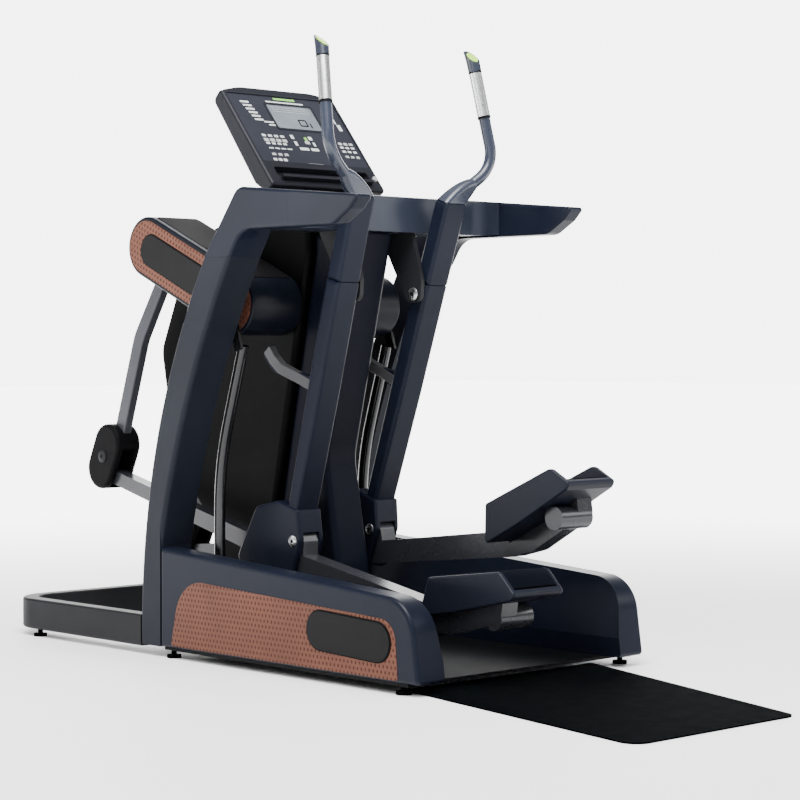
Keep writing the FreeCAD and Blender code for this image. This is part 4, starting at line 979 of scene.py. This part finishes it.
class CLIMBER_OT_stage(bpy.types.Operator):
    """Sets the pale floor, the soft studio light and the camera"""

    bl_idname = "climber.stage"
    bl_label = "Stage"

    def execute(self, context):
        settings = context.scene.climber_stage
        scene = context.scene
        work = bmesh.new()
        bmesh.ops.create_grid(work, x_segments=4, y_segments=4, size=40)
        mesh = bpy.data.meshes.new("studio_floor")
        work.to_mesh(mesh)
        work.free()
        floor = bpy.data.objects.new("studio_floor", mesh)
        scene.collection.objects.link(floor)
        floor.location.z = -0.0006
        mesh.materials.append(floor_finish("pale floor", settings.floor_tone,
                                            settings.surround * 0.78))
        world = bpy.data.worlds.new("studio")
        scene.world = world
        world.use_nodes = True
        self.studio(world.node_tree, settings)
        power = settings.key_power
        self.lamp("overhead softbox", (-1.2, -0.6, 4.4), (0.0, 0.6, 0.6), 2.2, power)
        self.lamp("left panel", (-3.3, 3.4, 1.95), (-0.45, 0.6, 1.3), 1.3, power * 0.13)
        self.lamp("right panel", (2.8, -2.2, 1.95), (0.0, 0.6, 1.3), 1.2, power * 0.10)
        self.lamp("camera-side panel", (-4.4, -1.0, 2.8), (-0.2, 0.6, 0.9), 1.6,
                  power * 0.12)
        sun = bpy.data.lights.new("sky dome", "SUN")
        sun.angle = math.radians(70)
        sun.energy = settings.dome
        holder = bpy.data.objects.new("sky dome", sun)
        scene.collection.objects.link(holder)
        holder.rotation_euler = (math.radians(14), math.radians(-10), 0.0)
        camera = bpy.data.cameras.new("camera")
        camera.lens = settings.lens
        camera.sensor_width = 36
        holder = bpy.data.objects.new("camera", camera)
        scene.collection.objects.link(holder)
        holder.location = CAMERA_PLACE
        holder.rotation_euler = (math.pi / 2 - CAMERA_PITCH, 0.0, -settings.azimuth)
        camera.clip_end = 200
        scene.camera = holder
        return {"FINISHED"}

    def studio(self, tree, settings):
        """Dim room with a bright white backdrop standing behind the machine."""
        back = tree.nodes["Background"]
        place = tree.nodes.new("ShaderNodeTexCoord").outputs["Generated"]
        facing = tree.nodes.new("ShaderNodeVectorMath")
        facing.operation = "DOT_PRODUCT"
        facing.inputs[1].default_value = (math.sin(settings.azimuth),
                                          math.cos(settings.azimuth), 0.0)
        tree.links.new(place, facing.inputs[0])
        fade = node(tree, "ShaderNodeMapRange", From_Min=0.72, From_Max=0.94,
                    To_Min=settings.room, To_Max=settings.surround)
        fade.interpolation_type = "SMOOTHSTEP"
        tree.links.new(facing.outputs["Value"], fade.inputs["Value"])
        back.inputs["Color"].default_value = (1.0, 1.0, 1.0, 1.0)
        tree.links.new(fade.outputs["Result"], back.inputs["Strength"])

    def lamp(self, name, place, aim, width, power):
        data = bpy.data.lights.new(name, "AREA")
        data.shape = "SQUARE"
        data.size = width
        data.energy = power
        lamp = bpy.data.objects.new(name, data)
        bpy.context.scene.collection.objects.link(lamp)
        lamp.location = place
        direction = Vector(aim) - Vector(place)
        lamp.rotation_euler = direction.to_track_quat("-Z", "Y").to_euler()


class CLIMBER_PT_sidebar(bpy.types.Panel):
    """Lists the settings and the steps of the dressing"""

    bl_idname = "CLIMBER_PT_sidebar"
    bl_label = "Stair climber"
    bl_space_type = "VIEW_3D"
    bl_region_type = "UI"
    bl_category = "Climber"

    def draw(self, context):
        layout = self.layout
        for group in (context.scene.climber_colours, context.scene.climber_pattern,
                      context.scene.climber_badges, context.scene.climber_treads,
                      context.scene.climber_stage):
            box = layout.box()
            for name in group.bl_rna.properties.keys():
                if name not in ("rna_type", "name"):
                    box.prop(group, name)
        for step in STEPS:
            layout.operator(step.bl_idname)


GROUPS = {
    "climber_colours": CoverColours,
    "climber_pattern": PanelPattern,
    "climber_badges": BadgeSizes,
    "climber_treads": TreadSizes,
    "climber_stage": StageSettings,
}
STEPS = (CLIMBER_OT_finishes, CLIMBER_OT_badges, CLIMBER_OT_pod_lids,
         CLIMBER_OT_straps, CLIMBER_OT_treads, CLIMBER_OT_console,
         CLIMBER_OT_fasteners, CLIMBER_OT_grips, CLIMBER_OT_stage)


def register():
    for group in GROUPS.values():
        bpy.utils.register_class(group)
    for name, group in GROUPS.items():
        setattr(bpy.types.Scene, name, PointerProperty(type=group))
    for step in STEPS:
        bpy.utils.register_class(step)
    bpy.utils.register_class(CLIMBER_PT_sidebar)


def unregister():
    bpy.utils.unregister_class(CLIMBER_PT_sidebar)
    for step in reversed(STEPS):
        bpy.utils.unregister_class(step)
    for name, group in GROUPS.items():
        delattr(bpy.types.Scene, name)
        bpy.utils.unregister_class(group)


def main():
    register()
    bpy.ops.climber.finishes()
    bpy.ops.climber.badges()
    bpy.ops.climber.pod_lids()
    bpy.ops.climber.straps()
    bpy.ops.climber.treads()
    bpy.ops.climber.console()
    bpy.ops.climber.fasteners()
    bpy.ops.climber.grips()
    bpy.ops.climber.stage()


if __name__ == "__main__":
    main()
